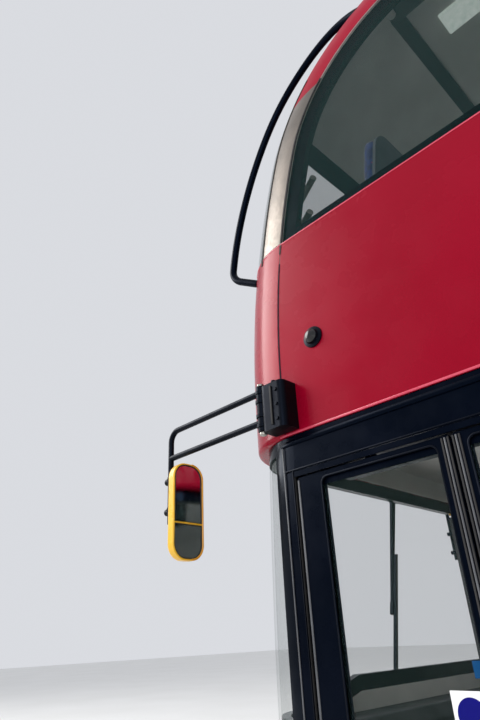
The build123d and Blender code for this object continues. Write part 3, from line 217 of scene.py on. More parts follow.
def metal(name, main, light, rough):
    p = Paint(name, rough=rough, metal=1.0)
    p.colour(p.ramp(p.noise(8.0, 4.0), (0.3, main), (0.8, light)))
    p.rough(p.ramp(p.noise(60.0, 4.0), (0.2, rough - 0.1), (0.8, rough + 0.12)))
    p.bump(p.noise(300.0, 2.0), 0.08, 0.0005)
    return p.mat


def rubber(name, main, light, rough):
    p = Paint(name, rough=rough)
    p.colour(p.ramp(p.noise(9.0, 6.0), (0.3, main), (0.8, light)))
    p.bump(p.noise(500.0), 0.25, 0.0006)
    return p.mat


def moquette(name):
    """Hard-wearing seat cloth: a dark blue ground in a small check, with lighter flecks and pile."""
    p = Paint(name, rough=0.9, Sheen_Weight=0.35, Sheen_Roughness=0.5)
    check = p.texture("ShaderNodeTexChecker", turn=(0.3, 0.2, 0.0), Scale=38.0,
                      Color1=srgb(26, 36, 84), Color2=srgb(34, 50, 112))
    fleck = p.ramp(p.cells(46.0), (0.12, 1.0), (0.2, 0.0))
    p.colour(p.cover(fleck, check.outputs["Color"], (150, 40, 52)))
    p.bump(p.noise(900.0), 0.5, 0.0012)
    return p.mat


def flooring(name):
    """Safety flooring: a grey sheet with hard light specks."""
    p = Paint(name, rough=0.55)
    speck = p.ramp(p.noise(420.0, 1.0), (0.58, 0.0), (0.66, 1.0))
    base = p.ramp(p.noise(2.0, 4.0), (0.3, (60, 64, 74)), (0.8, (78, 82, 92)))
    p.colour(p.cover(speck, base, (150, 152, 158)))
    p.bump(p.noise(700.0, 2.0), 0.3, 0.0008)
    return p.mat


def lens(name, main, light, clear=1.0):
    """A moulded lamp lens with fine optics behind a gloss face."""
    p = Paint(name, rough=0.12, coat=0.6, Specular_IOR_Level=0.7, Alpha=clear)
    p.colour(p.ramp(p.noise(14.0), (0.3, main), (0.8, light)))
    p.bump(p.cells(150.0), 0.35, 0.0012)
    return p.mat


def glow(name, colour, strength):
    """A lit diffuser."""
    p = Paint(name, rough=0.4, Emission_Color=colour, Emission_Strength=strength)
    p.colour(p.ramp(p.noise(30.0, 2.0), (0.3, colour), (0.8, (250, 250, 246))))
    return p.mat


RED = coach_paint("red_paint", (132, 0, 26), (150, 4, 38))
RED_ROOF = coach_paint("red_roof", (134, 0, 28), (154, 6, 42), dusty=0.0, coat=0.02, rough=(0.42, 0.6))
# lighter pink-red for the thin lips: painted highlight where their edges catch the light
RED_HIGHLIGHT_EDGE = plastic("red_edge_painted_highlight", (196, 60, 84), (220, 96, 116), 0.25)
SILVER = metal("silver_pillar", (112, 106, 100), (138, 130, 122), 0.36)
BLACK = plastic("black_trim", (1, 3, 10), (5, 8, 18), 0.3, shine=0.07, sheen=(150, 190, 255))
BLACK_MATT = plastic("black_matt", (4, 5, 8), (11, 12, 16), 0.4, shine=0.12, sheen=(180, 205, 255))
FRIT = plastic("frit_black", (3, 5, 10), (7, 10, 17), 0.16, 200.0, 0.03, 0.1, (160, 200, 255))
GLOSS_BLACK = plastic("gloss_black", (12, 12, 14), (22, 22, 25), 0.12, 300.0, 0.02)
TINT = glass("tinted_glass", (16, 46, 44), (18.93, 51.85, 49.65), clear=0.2)
CLEAR = glass("clear_glass", (60, 80, 76), (67.21, 89.16, 84.77), clear=0.05)
FLOOR = flooring("safety_floor")
RUBBER = rubber("black_rubber", (20, 20, 21), (44, 43, 42), 0.75)
# pale grey rubber: painted highlight along the door posts' seals and the leaves' edges; the leaves' screw
# heads take it too
HIGHLIGHT_GREY = rubber("rubber_edge_painted_highlight", (58, 60, 64), (96, 98, 102), 0.5)
TYRE = rubber("tyre_rubber", (26, 26, 27), (58, 56, 54), 0.82)
WHEEL = metal("wheel_paint", (150, 152, 156), (176, 178, 182), 0.42)
STEEL = metal("zinc_steel", (150, 148, 140), (182, 180, 172), 0.34)
CHROME = metal("bright_metal", (190, 192, 196), (220, 222, 226), 0.16)
MIRROR = metal("mirror_glass", (200, 206, 210), (214, 220, 224), 0.03)
CHASSIS = plastic("chassis_black", (22, 22, 23), (52, 47, 42), 0.6, 300.0, 0.4)
CAST = plastic("cast_metal", (52, 52, 54), (82, 80, 78), 0.65, 260.0, 0.5)
CLOTH = moquette("seat_moquette")
SHELL = plastic("seat_shell", (70, 74, 82), (92, 96, 104), 0.5)
YELLOW = plastic("rail_yellow", (226, 170, 20), (240, 190, 40), 0.35)
HEAD_YELLOW = plastic("mirror_yellow", (232, 176, 30), (244, 196, 56), 0.3)
# a darker orange copy of the mirror yellow: painted shade on the side of the head towards the bus
SHADE_AMBER = plastic("mirror_amber", (214, 140, 16), (232, 166, 34), 0.35)
GREY = plastic("cab_grey", (44, 46, 50), (62, 64, 68), 0.55)
LINING = plastic("lining_cream", (196, 196, 190), (214, 214, 208), 0.5)
LENS_CLEAR = lens("clear_lens", (206, 212, 216), (232, 236, 238), 0.4)
LENS_RED = lens("red_lens", (150, 6, 12), (190, 20, 24))
LENS_AMBER = lens("amber_lens", (214, 110, 8), (236, 146, 24))
LENS_WHITE = lens("white_lens", (208, 210, 210), (230, 232, 232))
LIGHT = glow("light_diffuser", (196, 210, 202), 0.6)
STICKER = plastic("blank_white_film", (228, 230, 232), (240, 240, 240), 0.3)
STICKER_BLUE = plastic("blank_blue_film", (10, 10, 104), (18, 18, 122), 0.3, shine=0.1)
STICKER_TEAL = plastic("blank_teal_film", (8, 62, 108), (16, 78, 124), 0.3, shine=0.1)
BUTTON = plastic("push_red", (176, 18, 26), (196, 34, 40), 0.3)


# Mesh building

SHARP_EDGE = 0.6  # a bevel takes the edges that turn by more than this, in radians

# A pad's grid lines across, up and through it, as shares of its half sizes
PAD_SEAM = 0.32
PAD_U = (-1, -0.94, -0.8, -0.42, 0, 0.27, PAD_SEAM, 0.37, 0.62, 0.8, 0.94, 1)
PAD_V = (-1, -0.93, -0.78, -0.4, 0, 0.4, 0.78, 0.93, 1)
PAD_W = (-1, -0.45, 0.45, 1)
# Its edge radius, how deep its channel is, how far its sides pull in, and how much its back sinks
PAD_SOFT, PAD_CHANNEL, PAD_PULL, PAD_SINK = 0.9, 0.12, 0.025, 0.2


def clamp(value, low, high):
    return min(max(value, low), high)


def basis(direction):
    """A rotation whose Z runs along direction."""
    return Vector(direction).normalized().to_track_quat("Z", "Y").to_matrix().to_4x4()


def plane(origin, x_dir, y_dir):
    """A matrix that lays x and y along two directions from an origin, and z square to both."""
    x_dir, y_dir = Vector(x_dir).normalized(), Vector(y_dir).normalized()
    return Matrix.Translation(origin) @ Matrix((x_dir, y_dir, x_dir.cross(y_dir))).transposed().to_4x4()


def circle(sides):
    """The cosine and sine of equal steps round a turn."""
    angles = [2 * math.pi * k / sides for k in range(sides)]
    return [(math.cos(a), math.sin(a)) for a in angles]


def rounded(width, height, radius, steps=6):
    """Outline of a rectangle with round corners, about its middle."""
    out = []
    for cx, cy, start in ((1, 1, 0), (-1, 1, 90), (-1, -1, 180), (1, -1, 270)):
        for k in range(steps + 1):
            angle = math.radians(start + 90 * k / steps)
            out.append((cx * (width / 2 - radius) + radius * math.cos(angle),
                        cy * (height / 2 - radius) + radius * math.sin(angle)))
    return out


def add_piece(name, bm, materials, body, replaces=()):
    """Shows a bmesh as a piece that rides on a body, and in place of the nodes that it replaces."""
    mesh = bpy.data.meshes.new(name)
    bm.to_mesh(mesh)
    bm.free()
    for material in materials:
        mesh.materials.append(material)
    made = bpy.data.objects.new(name, mesh)
    bpy.context.scene.collection.objects.link(made)
    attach(made, body)
    if replaces:
        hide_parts(*replaces)
    return made


class Kit:
    """Collects small forms into one piece. A form has the main material, unless it names another."""

    def __init__(self, name, main):
        self.name = name
        self.materials = [main]
        self.bm = bmesh.new()

    def _mark(self, faces, mat=None):
        mat = mat or self.materials[0]
        if mat not in self.materials:
            self.materials.append(mat)
        for face in faces:
            face.material_index = self.materials.index(mat)
            face.smooth = True

    def _round_off(self, before, verts, bevel, segments, mat):
        """Bevels the sharp edges of a form just made, whose faces are those that aren't in before."""
        if bevel > 0:
            edges = {e for v in verts for e in v.link_edges}
            sharp = [e for e in edges if e.calc_face_angle(0) > SHARP_EDGE]
            bmesh.ops.bevel(self.bm, geom=sharp, offset=bevel, segments=segments, affect="EDGES",
                            profile=0.5, clamp_overlap=True)
        self._mark([f for f in self.bm.faces if f not in before], mat)

    def box(self, corner, opposite, mat=None, bevel=0.003, segments=2, turn=Matrix()):
        before = set(self.bm.faces)
        low, high = Vector(map(min, corner, opposite)), Vector(map(max, corner, opposite))
        matrix = Matrix.Translation((high + low) / 2) @ turn @ Matrix.Diagonal((*(high - low), 1))
        made = bmesh.ops.create_cube(self.bm, size=1.0, matrix=matrix)
        self._round_off(before, made["verts"], bevel, segments, mat)

    def rod(self, start, end, r, mat=None, sides=24, bevel=0.0):
        before = set(self.bm.faces)
        start, end = Vector(start), Vector(end)
        matrix = Matrix.Translation((start + end) / 2) @ basis(end - start)
        made = bmesh.ops.create_cone(self.bm, cap_ends=True, segments=sides, radius1=r, radius2=r,
                                     depth=(end - start).length, matrix=matrix)
        self._round_off(before, made["verts"], bevel, 2, mat)

    def loft(self, rings, mat=None, closed=False):
        """A form through rings of points, flat at both ends unless it closes on itself."""
        made = [[self.bm.verts.new(p) for p in ring] for ring in rings]
        faces = []
        for a, b in list(zip(made, made[1:])) + ([(made[-1], made[0])] if closed else []):
            for k in range(len(a)):
                n = (k + 1) % len(a)
                faces.append(self.bm.faces.new((a[k], a[n], b[n], b[k])))
        if not closed:
            faces += [self.bm.faces.new(list(reversed(made[0]))), self.bm.faces.new(made[-1])]
        self._mark(faces, mat)
        return made

    def lathe(self, profile, origin, axis, mat=None, sides=24, closed=False):
        """A turned form. profile is a list of (radius, height along the axis)."""
        matrix = Matrix.Translation(origin) @ basis(axis)
        self.loft([[matrix @ Vector((radius * c, radius * s, height)) for c, s in circle(sides)]
                   for radius, height in profile], mat, closed)

    def tube(self, points, r, mat=None, sides=12, closed=False):
        """A round tube through points, whose section doesn't twist."""
        points = [Vector(p) for p in points]
        first, last = (points[-1], points[0]) if closed else (points[0], points[-1])
        path = [first, *points, last]
        normal = (path[2] - path[0]).normalized().orthogonal()
        rings = []
        for before, point, after in zip(path, points, path[2:]):
            tangent = (after - before).normalized()
            normal = (normal - tangent * normal.dot(tangent)).normalized()
            side = tangent.cross(normal)
            rings.append([point + (normal * c + side * s) * r for c, s in circle(sides)])
        self.loft(rings, mat, closed)

    def plate(self, outline, thickness, origin, x_dir, y_dir, mat=None, bevel=0.0):
        """A flat outline in its own plane, made thick along its normal."""
        before = set(self.bm.faces)
        matrix = plane(origin, x_dir, y_dir)
        rings = self.loft([[matrix @ Vector((u, v, w)) for u, v in outline] for w in (0, thickness)], mat)
        self._round_off(before, rings[0] + rings[1], bevel, 2, mat)

    def pad(self, centre, x_dir, y_dir, size, crown=0.16):
        """A stuffed block: crowned face, soft edges, sides drawn in between the corners, one channel."""
        matrix = plane(centre, x_dir, y_dir)
        half = [s / 2 for s in size]
        soft = min(half) * PAD_SOFT
        steps = (PAD_U, PAD_V, PAD_W)
        made = {}

        def vert(*index):
            if index not in made:
                u, v, w = (line[i] for line, i in zip(steps, index))
                p = Vector((u * half[0], v * half[1], w * half[2]))
                core = Vector([clamp(c, soft - h, h - soft) for h, c in zip(half, p)])
                p = core + (p - core).normalized() * soft
                swell = (1 - u * u) * (1 - v * v)
                p.z += size[2] * crown * swell * (1 if w > 0 else -PAD_SINK)
                if w == 1 and u == PAD_SEAM:
                    p.z -= size[2] * PAD_CHANNEL
                p.x -= math.copysign(abs(u) ** 3, u) * PAD_PULL * size[0] * (1 - v * v)
                p.y -= math.copysign(abs(v) ** 3, v) * PAD_PULL * size[1] * (1 - u * u)
                made[index] = self.bm.verts.new(matrix @ p)
            return made[index]

        faces = []
        last = [len(line) - 1 for line in steps]
        for fixed, a, b in ((0, 1, 2), (1, 0, 2), (2, 0, 1)):
            for end, i, j in product((0, last[fixed]), range(last[a]), range(last[b])):
                ring = []
                for di, dj in ((0, 0), (1, 0), (1, 1), (0, 1)):
                    index = [0, 0, 0]
                    index[fixed], index[a], index[b] = end, i + di, j + dj
                    ring.append(vert(*index))
                faces.append(self.bm.faces.new(ring))
        self._mark(faces)

    def done(self, body=BODY, sharp=35.0, replaces=()):
        bmesh.ops.recalc_face_normals(self.bm, faces=self.bm.faces)
        limit = math.radians(sharp)
        for edge in self.bm.edges:
            edge.smooth = edge.calc_face_angle(0) <= limit
        return add_piece(self.name, self.bm, self.materials, body, replaces)


# The body's surface, so that trim lies on it

OUTLINE_STEPS, BELT_STEPS, HOOP_STEPS = 24, 10, 8
ROOT = -0.002  # trim starts this deep in the panel under it
FAR = 9.0  # beyond either end of the bus


def front_outline():
    """Points and outward normals (x, z, nx, nz) of the upper front, from its foot to the flat roof."""
    out = [(FRONT_X, DECK_Z, 1.0, 0.0), (FRONT_X, BROW_Z, 1.0, 0.0)]
    for x, z, r, start, end in ((FRONT_X - BROW_R, BROW_Z, BROW_R, 0.0, BROW_TURN),
                                (DOME_X, DOME_Z, DOME_R, BROW_TURN, math.pi / 2)):
        for k in range(1, OUTLINE_STEPS + 1):
            a = start + (end - start) * k / OUTLINE_STEPS
            out.append((x + r * math.cos(a), z + r * math.sin(a), math.cos(a), math.sin(a)))
    return out


def skin(point, inset, side, lift):
    """The surface point at a distance inset from the outline, measured square to it."""
    x, z, nx, nz = point
    phi = math.acos(max(1 - inset / CORNER_R, 0.0))
    reach = inset - lift * math.cos(phi)
    y = side * (HALF - CORNER_R + (CORNER_R + lift) * math.sin(phi))
    return Vector((x - nx * reach, y, z - nz * reach))


def seam_strip(kit, points, low, high, side, lift, mat=None):
    """A thin raised band on the skin, between two insets."""
    section = ((low, ROOT), (low, lift), (high, lift), (high, ROOT))
    kit.loft([[skin(p, inset, side, up) for inset, up in section] for p in points], mat)


def belt(z, lift=0.0):
    """Half of the body's plan at height z, from the middle of the nose to the middle of the tail."""
    upper = z >= DECK_Z
    corner = CORNER_R if upper else LOWER_CORNER_R
    centre_x, radius = (FRONT_X - BROW_R, BROW_R) if upper else (NOSE_X - NOSE_R, NOSE_R)
    rise = max(z - BROW_Z, 0.0) if upper else z - NOSE_Z
    turn = [(-lift, 0.0)]
    for k in range(BELT_STEPS + 1):
        phi = math.pi / 2 * k / BELT_STEPS
        inset = corner * (1 - math.cos(phi)) - lift * math.cos(phi)
        turn.append((inset, HALF - corner + (corner + lift) * math.sin(phi)))
    nose = [(centre_x + math.sqrt((radius - inset) ** 2 - rise ** 2), y) for inset, y in turn]
    return nose + [(REAR_X + inset, y) for inset, y in reversed(turn)]


def front_x(z):
    """x of the front's middle at height z, below the dome."""
    return belt(z)[0][0]


def band(kit, z, half, proud, mat=None, x_low=-FAR, x_high=FAR, sides=SIDES):
    """A moulding round the body at height z, between two places along it."""
    section = ((-half, ROOT), (-half, proud * 0.6), (-half * 0.6, proud), (half * 0.6, proud),
               (half, proud * 0.6), (half, ROOT))
    base = belt(z)
    stations = []
    for k, (a, b) in enumerate(zip(base, base[1:])):
        if x_low <= a[0] <= x_high:
            stations.append((k, 0.0))
        stations += [(k, (a[0] - x) / (a[0] - b[0])) for x in (x_high, x_low)
                     if (a[0] - x) * (b[0] - x) < 0]
    if x_low <= base[-1][0] <= x_high:
        stations.append((len(base) - 2, 1.0))
    for side in sides:
        rings = [[] for _ in stations]
        for dz, lift in section:
            line = belt(z + dz, lift)
            for ring, (k, t) in zip(rings, stations):
                x, y = (line[k][i] * (1 - t) + line[k + 1][i] * t for i in (0, 1))
                ring.append((x, side * y, z + dz))
        kit.loft(rings, mat)


def hoop(kit, x, half, proud):
    """A joint moulding over the roof from side to side."""
    section = ((-half, ROOT), (-half, proud), (half, proud), (half, ROOT))
    steps = range(HOOP_STEPS + 1)
    rings = []
    for side, k in [(-1, k) for k in reversed(steps)] + [(1, k) for k in steps]:
        inset = CORNER_R * (1 - math.cos(math.pi / 2 * k / HOOP_STEPS))
        rings.append([skin((x + dx, ROOF_Z, 0.0, 1.0), inset, side, lift) for dx, lift in section])
    kit.loft(rings)


# CAD nodes: their materials

CORE_X, CORE_Z = (-4.6, 4.2), (1.2, 3.4)  # body panels face away from this part of the middle plane
WHEELS = [f"{axle}_wheel_{end}" for axle in ("front", "rear") for end in ("near", "off")]
DOORS = (("front_door_a", FRONT_DOOR[0], -1), ("front_door_b", FRONT_DOOR[1], 1),
         ("centre_door_a", CENTRE_DOOR[0], -1), ("centre_door_b", CENTRE_DOOR[1], 1))


def dress(node, *materials, pick=None):
    """Gives a CAD node its materials. pick(face) says which one a face takes instead of the first."""
    mesh = NODES[node].data
    mesh.materials.clear()
    for material in materials:
        mesh.materials.append(material)
    for face in mesh.polygons:
        face.material_index = materials.index(pick(face)) if pick else 0


def dress_panel(node, paint):
    """A body panel is painted outside and lined inside."""

    def pick(face):
        c = face.center
        outward = Vector((c.x - clamp(c.x, *CORE_X), c.y, c.z - clamp(c.z, *CORE_Z)))
        return paint if face.normal.dot(outward) > -1e-4 * outward.length else LINING

    dress(node, paint, LINING, pick=pick)


def floor_part(face):
    if face.normal.z > 0.5:
        return FLOOR
    return CHASSIS if face.center.z < SKIRT_Z + 0.021 else GREY


def dome_part(face):
    off_axis = (face.center - CAMERA_DOME).cross(Vector((0, 1, 0))).length
    return GLOSS_BLACK if off_axis < 0.0275 else BLACK_MATT


def mirror_part(face):
    """The pane; on the side towards the bus, the lip beside it and the shell in amber as painted shade; or
    the yellow shell.
    """
    c = face.center
    if face.normal.x < -0.9 and abs(c.x - MIRROR_HEAD.x - 0.003) < 0.0006:
        return MIRROR
    return SHADE_AMBER if abs(c.y) < MIRROR_HEAD.y - 0.05 and c.x < MIRROR_HEAD.x + 0.03 else HEAD_YELLOW


def pole_part(face):
    """The rails round the stair well are grey."""
    c = face.center
    return GREY if 1.79 < c.x < 3.67 and c.y < -0.56 and c.z > UPPER_FLOOR_Z - 0.005 else YELLOW


def leaf_part(face):
    """The rail inside, the pane, or the frame."""
    y = face.center.y
    if y < LEAF_Y - LEAF_T / 2 - 0.001:
        return YELLOW
    return CLEAR if abs(abs(y - LEAF_Y) - PANE_HALF) < 0.0005 and face.area > 0.02 else BLACK


for names, material in (
    (("engine_flap",), RED),
    (("window_frames", "screen_frames"), FRIT),
    (("doorway_frames", "tree_guard"), BLACK),
    (("upper_glass", "upper_windscreen", "lower_side_glass"), TINT),
    (("sign_screen",), GLOSS_BLACK),
    (("chassis_frame", "front_axle", "rear_axle", "tow_lugs"), CHASSIS),
    (("engine_block", "knuckle_near", "knuckle_off"), CAST),
    (("cab", "cab_screen", "cab_door"), GREY),
    (("mirror_arms", "wiper_spindles", "wiper_near", "wiper_off"), BLACK_MATT),
    (("lower_seats", "upper_seats"), CLOTH),
    (("lamps",), CHROME),
    ([wheel + "_tyre" for wheel in WHEELS], TYRE),
    ([wheel + "_rim" for wheel in WHEELS], WHEEL),
    ([door + "_arm" for door, _, _ in DOORS], BLACK_MATT),
):
    for name in names:
        dress(name, material)
for name in ("mid_side_panels", "mid_front_panel", "rear_upper_panel", "nearside_lower_panel",
             "offside_lower_panel", "front_lower_panel", "rear_lower_panel"):
    dress_panel(name, RED)
dress_panel("roof_panel", RED_ROOF)
dress_panel("front_pillars", SILVER)
dress("lower_windscreen", CLEAR, FRIT)
dress("lower_floor", FLOOR, GREY, CHASSIS, pick=floor_part)
dress("upper_floor", FLOOR, LINING, pick=lambda face: LINING if face.normal.z < -0.5 else FLOOR)
dress("stair", FLOOR, LINING, pick=lambda face: FLOOR if face.normal.z > 0.5 else LINING)
dress("camera_dome", BLACK_MATT, GLOSS_BLACK, pick=dome_part)
dress("mirror_heads", HEAD_YELLOW, MIRROR, SHADE_AMBER, pick=mirror_part)
dress("poles_and_rails", YELLOW, GREY, pick=pole_part)
for door, _, _ in DOORS:
    dress(door + "_leaf", BLACK, CLEAR, YELLOW, pick=leaf_part)

# Nodes that are shown as copies with some points moved, because the photograph's door glass is
# taller than the solids', and its windscreen's foot falls towards the doorway

GLASS_RISE, PANE_TOP = 0.05, (1.80, 1.90)
SCREEN_FALL, FALL_FROM, FALL_TO = 0.09, 0.62, 0.97
BAND_X, BAND_Z = 4.822, 2.045  # the windscreen's printed band hides the frame behind its edges
FALL_CUTS = [((0, y, 0), (0, 1, 0)) for y in (FALL_FROM, FALL_TO)]
BAND_CUTS = [((BAND_X, 0, 0), (1, 0, 0)), ((0, 0, BAND_Z), (0, 0, 1))]


def reshaped(node, body, levels, rise, cuts=(), pick=None):
    """Shows a copy of a dressed CAD node, cut at planes. Points between two levels go up by rise(point)."""
    materials = list(NODES[node].data.materials)
    bm = bmesh.new()
    bm.from_mesh(NODES[node].data)
    for point, normal in cuts:
        geom = bm.verts[:] + bm.edges[:] + bm.faces[:]
        bmesh.ops.bisect_plane(bm, geom=geom, plane_co=point, plane_no=normal)
    if pick:
        for face in bm.faces:
            face.material_index = materials.index(pick(face.calc_center_median()))
    for vert in bm.verts:
        if levels[0] < vert.co.z < levels[1]:
            vert.co.z += rise(vert.co)
    add_piece(node + "_fitted", bm, materials, body, (node,))


def screen_foot(at):
    return -SCREEN_FALL * clamp((at.y - FALL_FROM) / (FALL_TO - FALL_FROM), 0.0, 1.0)


def screen_part(at):
    return FRIT if at.x < BAND_X or at.z > BAND_Z else CLEAR


for door, _, _ in DOORS:
    reshaped(door + "_leaf", door + "_leaf", PANE_TOP, lambda at: GLASS_RISE)
reshaped("front_lower_panel", BODY, (1.19, 1.21), screen_foot, FALL_CUTS)
reshaped("screen_frames", BODY, (1.20, 1.28), screen_foot, FALL_CUTS)
reshaped("lower_windscreen", BODY, (1.20, 1.21), screen_foot, FALL_CUTS + BAND_CUTS,
         screen_part)

# Mouldings and joints of the body

ARCH_R, ARCH_GAP = 0.56, 0.575
BUMPER_BAND = (BUMPER_Z - 0.045, 0.026)
trim = Kit("body_mouldings", RUBBER)
# the two thin lips at the upper waist and just over the deck are a lighter red: painted highlight along
# their edges
band(trim, UPPER_WAIST_Z - 0.005, 0.003, 0.0022, RED_HIGHLIGHT_EDGE)
band(trim, DECK_Z - 0.030, 0.010, 0.007, BLACK, x_high=POST_X)
band(trim, DECK_Z + 0.006, 0.004, 0.002, RED_HIGHLIGHT_EDGE, x_high=POST_X)
for x_low, x_high in ((-FAR, REAR_AXLE_X - ARCH_GAP), (REAR_AXLE_X + ARCH_GAP, FRONT_AXLE_X - ARCH_GAP),
                      (FRONT_AXLE_X + ARCH_GAP, FAR)):
    band(trim, SKIRT_Z + 0.014, 0.013, 0.006, x_low=x_low, x_high=x_high)
band(trim, *BUMPER_BAND, 0.011, x_low=POST_X + 0.004, sides=(1,))
band(trim, *BUMPER_BAND, 0.011, x_low=POST_X - 0.30, sides=(-1,))
band(trim, *BUMPER_BAND, 0.003, x_high=REAR_X + SEAM + 0.12)
outline = front_outline()
brow = [p for p in outline if UPPER_WAIST_Z < p[1] + 0.02 and p[1] - p[3] * 0.2 < 3.93]
nose = [(FRONT_X, DECK_Z + 0.012, 1.0, 0.0)]
nose += [p for p in outline if DECK_Z + 0.012 < p[1] < UPPER_WAIST_Z]
for side in SIDES:
    seam_strip(trim, brow, 0.193, 0.204, side, 0.003)
    seam_strip(trim, brow, SEAM - 0.005, SEAM + 0.004, side, 0.002)
    seam_strip(trim, nose, SEAM - 0.0035, SEAM + 0.0035, side, 0.0012, BLACK)
trim.done()

roof_trim = Kit("roof_joints", RED_ROOF)
for x in (3.2, 1.8, 0.4, -1.0, -2.4, -3.8):
    hoop(roof_trim, x, 0.011, 0.0016)
roof_trim.done()

arch_trim = Kit("arch_lips", RUBBER)
arch = [(-ARCH_R, SKIRT_Z, -1, 0)]
for k in range(41):
    a = math.pi * (1 - k / 40)
    arch.append((ARCH_R * math.cos(a), TYRE_R + ARCH_R * math.sin(a), math.cos(a), math.sin(a)))
arch.append((ARCH_R, SKIRT_Z, 1, 0))
arch_lip = ((-0.001, 1.262), (-0.001, 1.281), (0.006, 1.284), (0.014, 1.281), (0.016, 1.274), (0.004, 1.262))
for axle_x, side in product((FRONT_AXLE_X, REAR_AXLE_X), SIDES):
    arch_trim.loft([[(axle_x + x + nx * out, side * y, z + nz * out) for out, y in arch_lip]
                    for x, z, nx, nz in arch])
arch_trim.done()

# Doorways: seals on the posts and the head, sill plates, gear covers with their lights

seals = Kit("doorway_seals", RUBBER)
gear = Kit("door_gear_covers", BLACK_MATT)
SEAL_FOOT = HALF - 0.001
for front, rear in (FRONT_DOOR, CENTRE_DOOR):
    for x, way in ((front, -1), (rear, 1)):
        seals.box((x - 0.002, 1.262, 0.345), (x + 0.002, 1.272, 1.957), bevel=0.001)
        # the outer seal on each post is pale grey: painted highlight along the post's edge
        for start, end, top, proud, mat, bevel in ((0.046, 0.0405, 2.06, 0.003, HIGHLIGHT_GREY, 0.0012),
                                                   (0.004, 0.0005, 1.962, 0.002, BLACK_MATT, 0.001)):
            seals.box((x - way * start, SEAL_FOOT, 0.335), (x - way * end, HALF + proud, top), mat, bevel)
    seals.box((rear - 0.044, SEAL_FOOT, 1.9625), (front + 0.044, HALF + 0.0025, 1.967), BLACK_MATT, 0.001)
    seals.box((rear + 0.002, 1.236, 0.339), (front - 0.002, 1.274, 0.3445), STEEL, 0.0015)
    middle = (front + rear) / 2
    gear.box((rear - 0.02, 0.88, 1.985), (front + 0.02, 1.2285, 2.235), bevel=0.018, segments=3)
    gear.box((rear + 0.06, 0.86, 2.02), (front - 0.06, 0.882, 2.05), LIGHT, 0.006)
    for x in (middle - 0.36, middle + 0.36):
        gear.rod((x, 1.12, 1.975), (x, 1.12, 1.99), 0.012)
    gear.box((middle - 0.05, 1.03, 1.975), (middle + 0.05, 1.10, 1.988), bevel=0.004)
seals.done()
gear.done()

# Door leaves: gaskets round the pane, seals and rubber fingers at the edges, screws, blank stickers

PANE_MID_Z, PANE_HEIGHT = 1.172 + GLASS_RISE / 2, 1.385 + GLASS_RISE
OUTER, INNER = LEAF_Y + LEAF_T / 2, LEAF_Y - LEAF_T / 2
SCREW_Z = LEAF_Z[0] + 0.02


def strip(kit, x, half, y_low, y_high, end, mat=None):
    """An upright strip on a leaf, which ends short of the leaf by end."""
    kit.box((x - half, y_low, LEAF_Z[0] + end), (x + half, y_high, LEAF_Z[1] - end), mat, 0.0014)


for name, post_x, way in DOORS:
    start = post_x + way * 0.010
    meet = start + way * LEAF_LENGTH
    low, high = sorted((start + way * 0.105, meet - way * 0.042))
    kit = Kit(name + "_trim", RUBBER)
    for y in (OUTER - 0.003, INNER + 0.003):
        ring = [((low + high) / 2 + u, y, PANE_MID_Z + v)
                for u, v in rounded(high - low - 0.006, PANE_HEIGHT, 0.026)]
        kit.tube(ring, 0.004, BLACK_MATT, 8, closed=True)
    # the middle of the three ribs at the meeting edge is pale grey: painted highlight
    for k, mat in enumerate((RUBBER, HIGHLIGHT_GREY, RUBBER)):
        x = meet - way * (0.005 + 0.010 * k)
        strip(kit, x, 0.003, OUTER - 0.002, OUTER + 0.0035, 0.006, mat)
        strip(kit, x, 0.003, INNER - 0.0035, INNER + 0.002, 0.006)
    # the strip along the leaf's post edge is pale grey: painted highlight
    strip(kit, start + way * 0.007, 0.004, OUTER - 0.002, OUTER + 0.003, 0.01, HIGHLIGHT_GREY)
    for x in (start + way * 0.05, start + way * 0.3, meet - way * 0.06):
        kit.rod((x, OUTER - 0.001, SCREW_Z), (x, OUTER + 0.0015, SCREW_Z), 0.005, HIGHLIGHT_GREY, 12)
    if name == "front_door_a":
        pane = LEAF_Y + PANE_HALF + 0.0002
        kit.box((4.164, pane - 0.0003, 1.158), (4.268, pane + 0.0006, 1.268), STICKER, 0.0002)
        kit.rod((4.216, pane, 1.213), (4.216, pane + 0.0009, 1.213), 0.041, STICKER_BLUE, 40)
        kit.box((4.156, pane - 0.0003, 1.296), (4.190, pane + 0.0006, 1.336), STICKER_TEAL, 0.0002)
    kit.done(name + "_leaf")

# Mirrors: the bracket's clamps, bolts and bushes, then the gaskets of both panes and the arm's screws

bracket = Kit("mirror_bracket_fittings", BLACK_MATT)
BUSH = [(0.0206, -0.008), (0.0245, -0.006), (0.0245, 0.006), (0.0206, 0.008)]
for side in SIDES:
    foot_y, face_y, pin_y = side * (HALF + 0.002), side * (HALF + 0.0845), side * MIRROR_PIN_Y
    for z in (2.133, 2.287):
        bracket.box((4.672, foot_y, z - 0.010), (4.790, foot_y + side * 0.018, z + 0.010))
    for z in (2.150, 2.210, 2.270):
        bracket.rod((4.705, face_y - side * 0.001, z), (4.705, face_y + side * 0.004, z), 0.008, sides=6)
    bracket.box((4.724, face_y, 2.130), (4.732, face_y + side * 0.005, 2.290), RUBBER, 0.001)
    for z in (2.112, 2.316):
        bracket.rod((MIRROR_PIN_X, pin_y, z), (MIRROR_PIN_X, pin_y, z + 0.012), 0.015, STEEL, bevel=0.002)
    for z in (2.150, 2.190, 2.250, 2.290):
        bracket.lathe(BUSH, (MIRROR_PIN_X, pin_y, z), (0, 0, 1))
bracket.done()

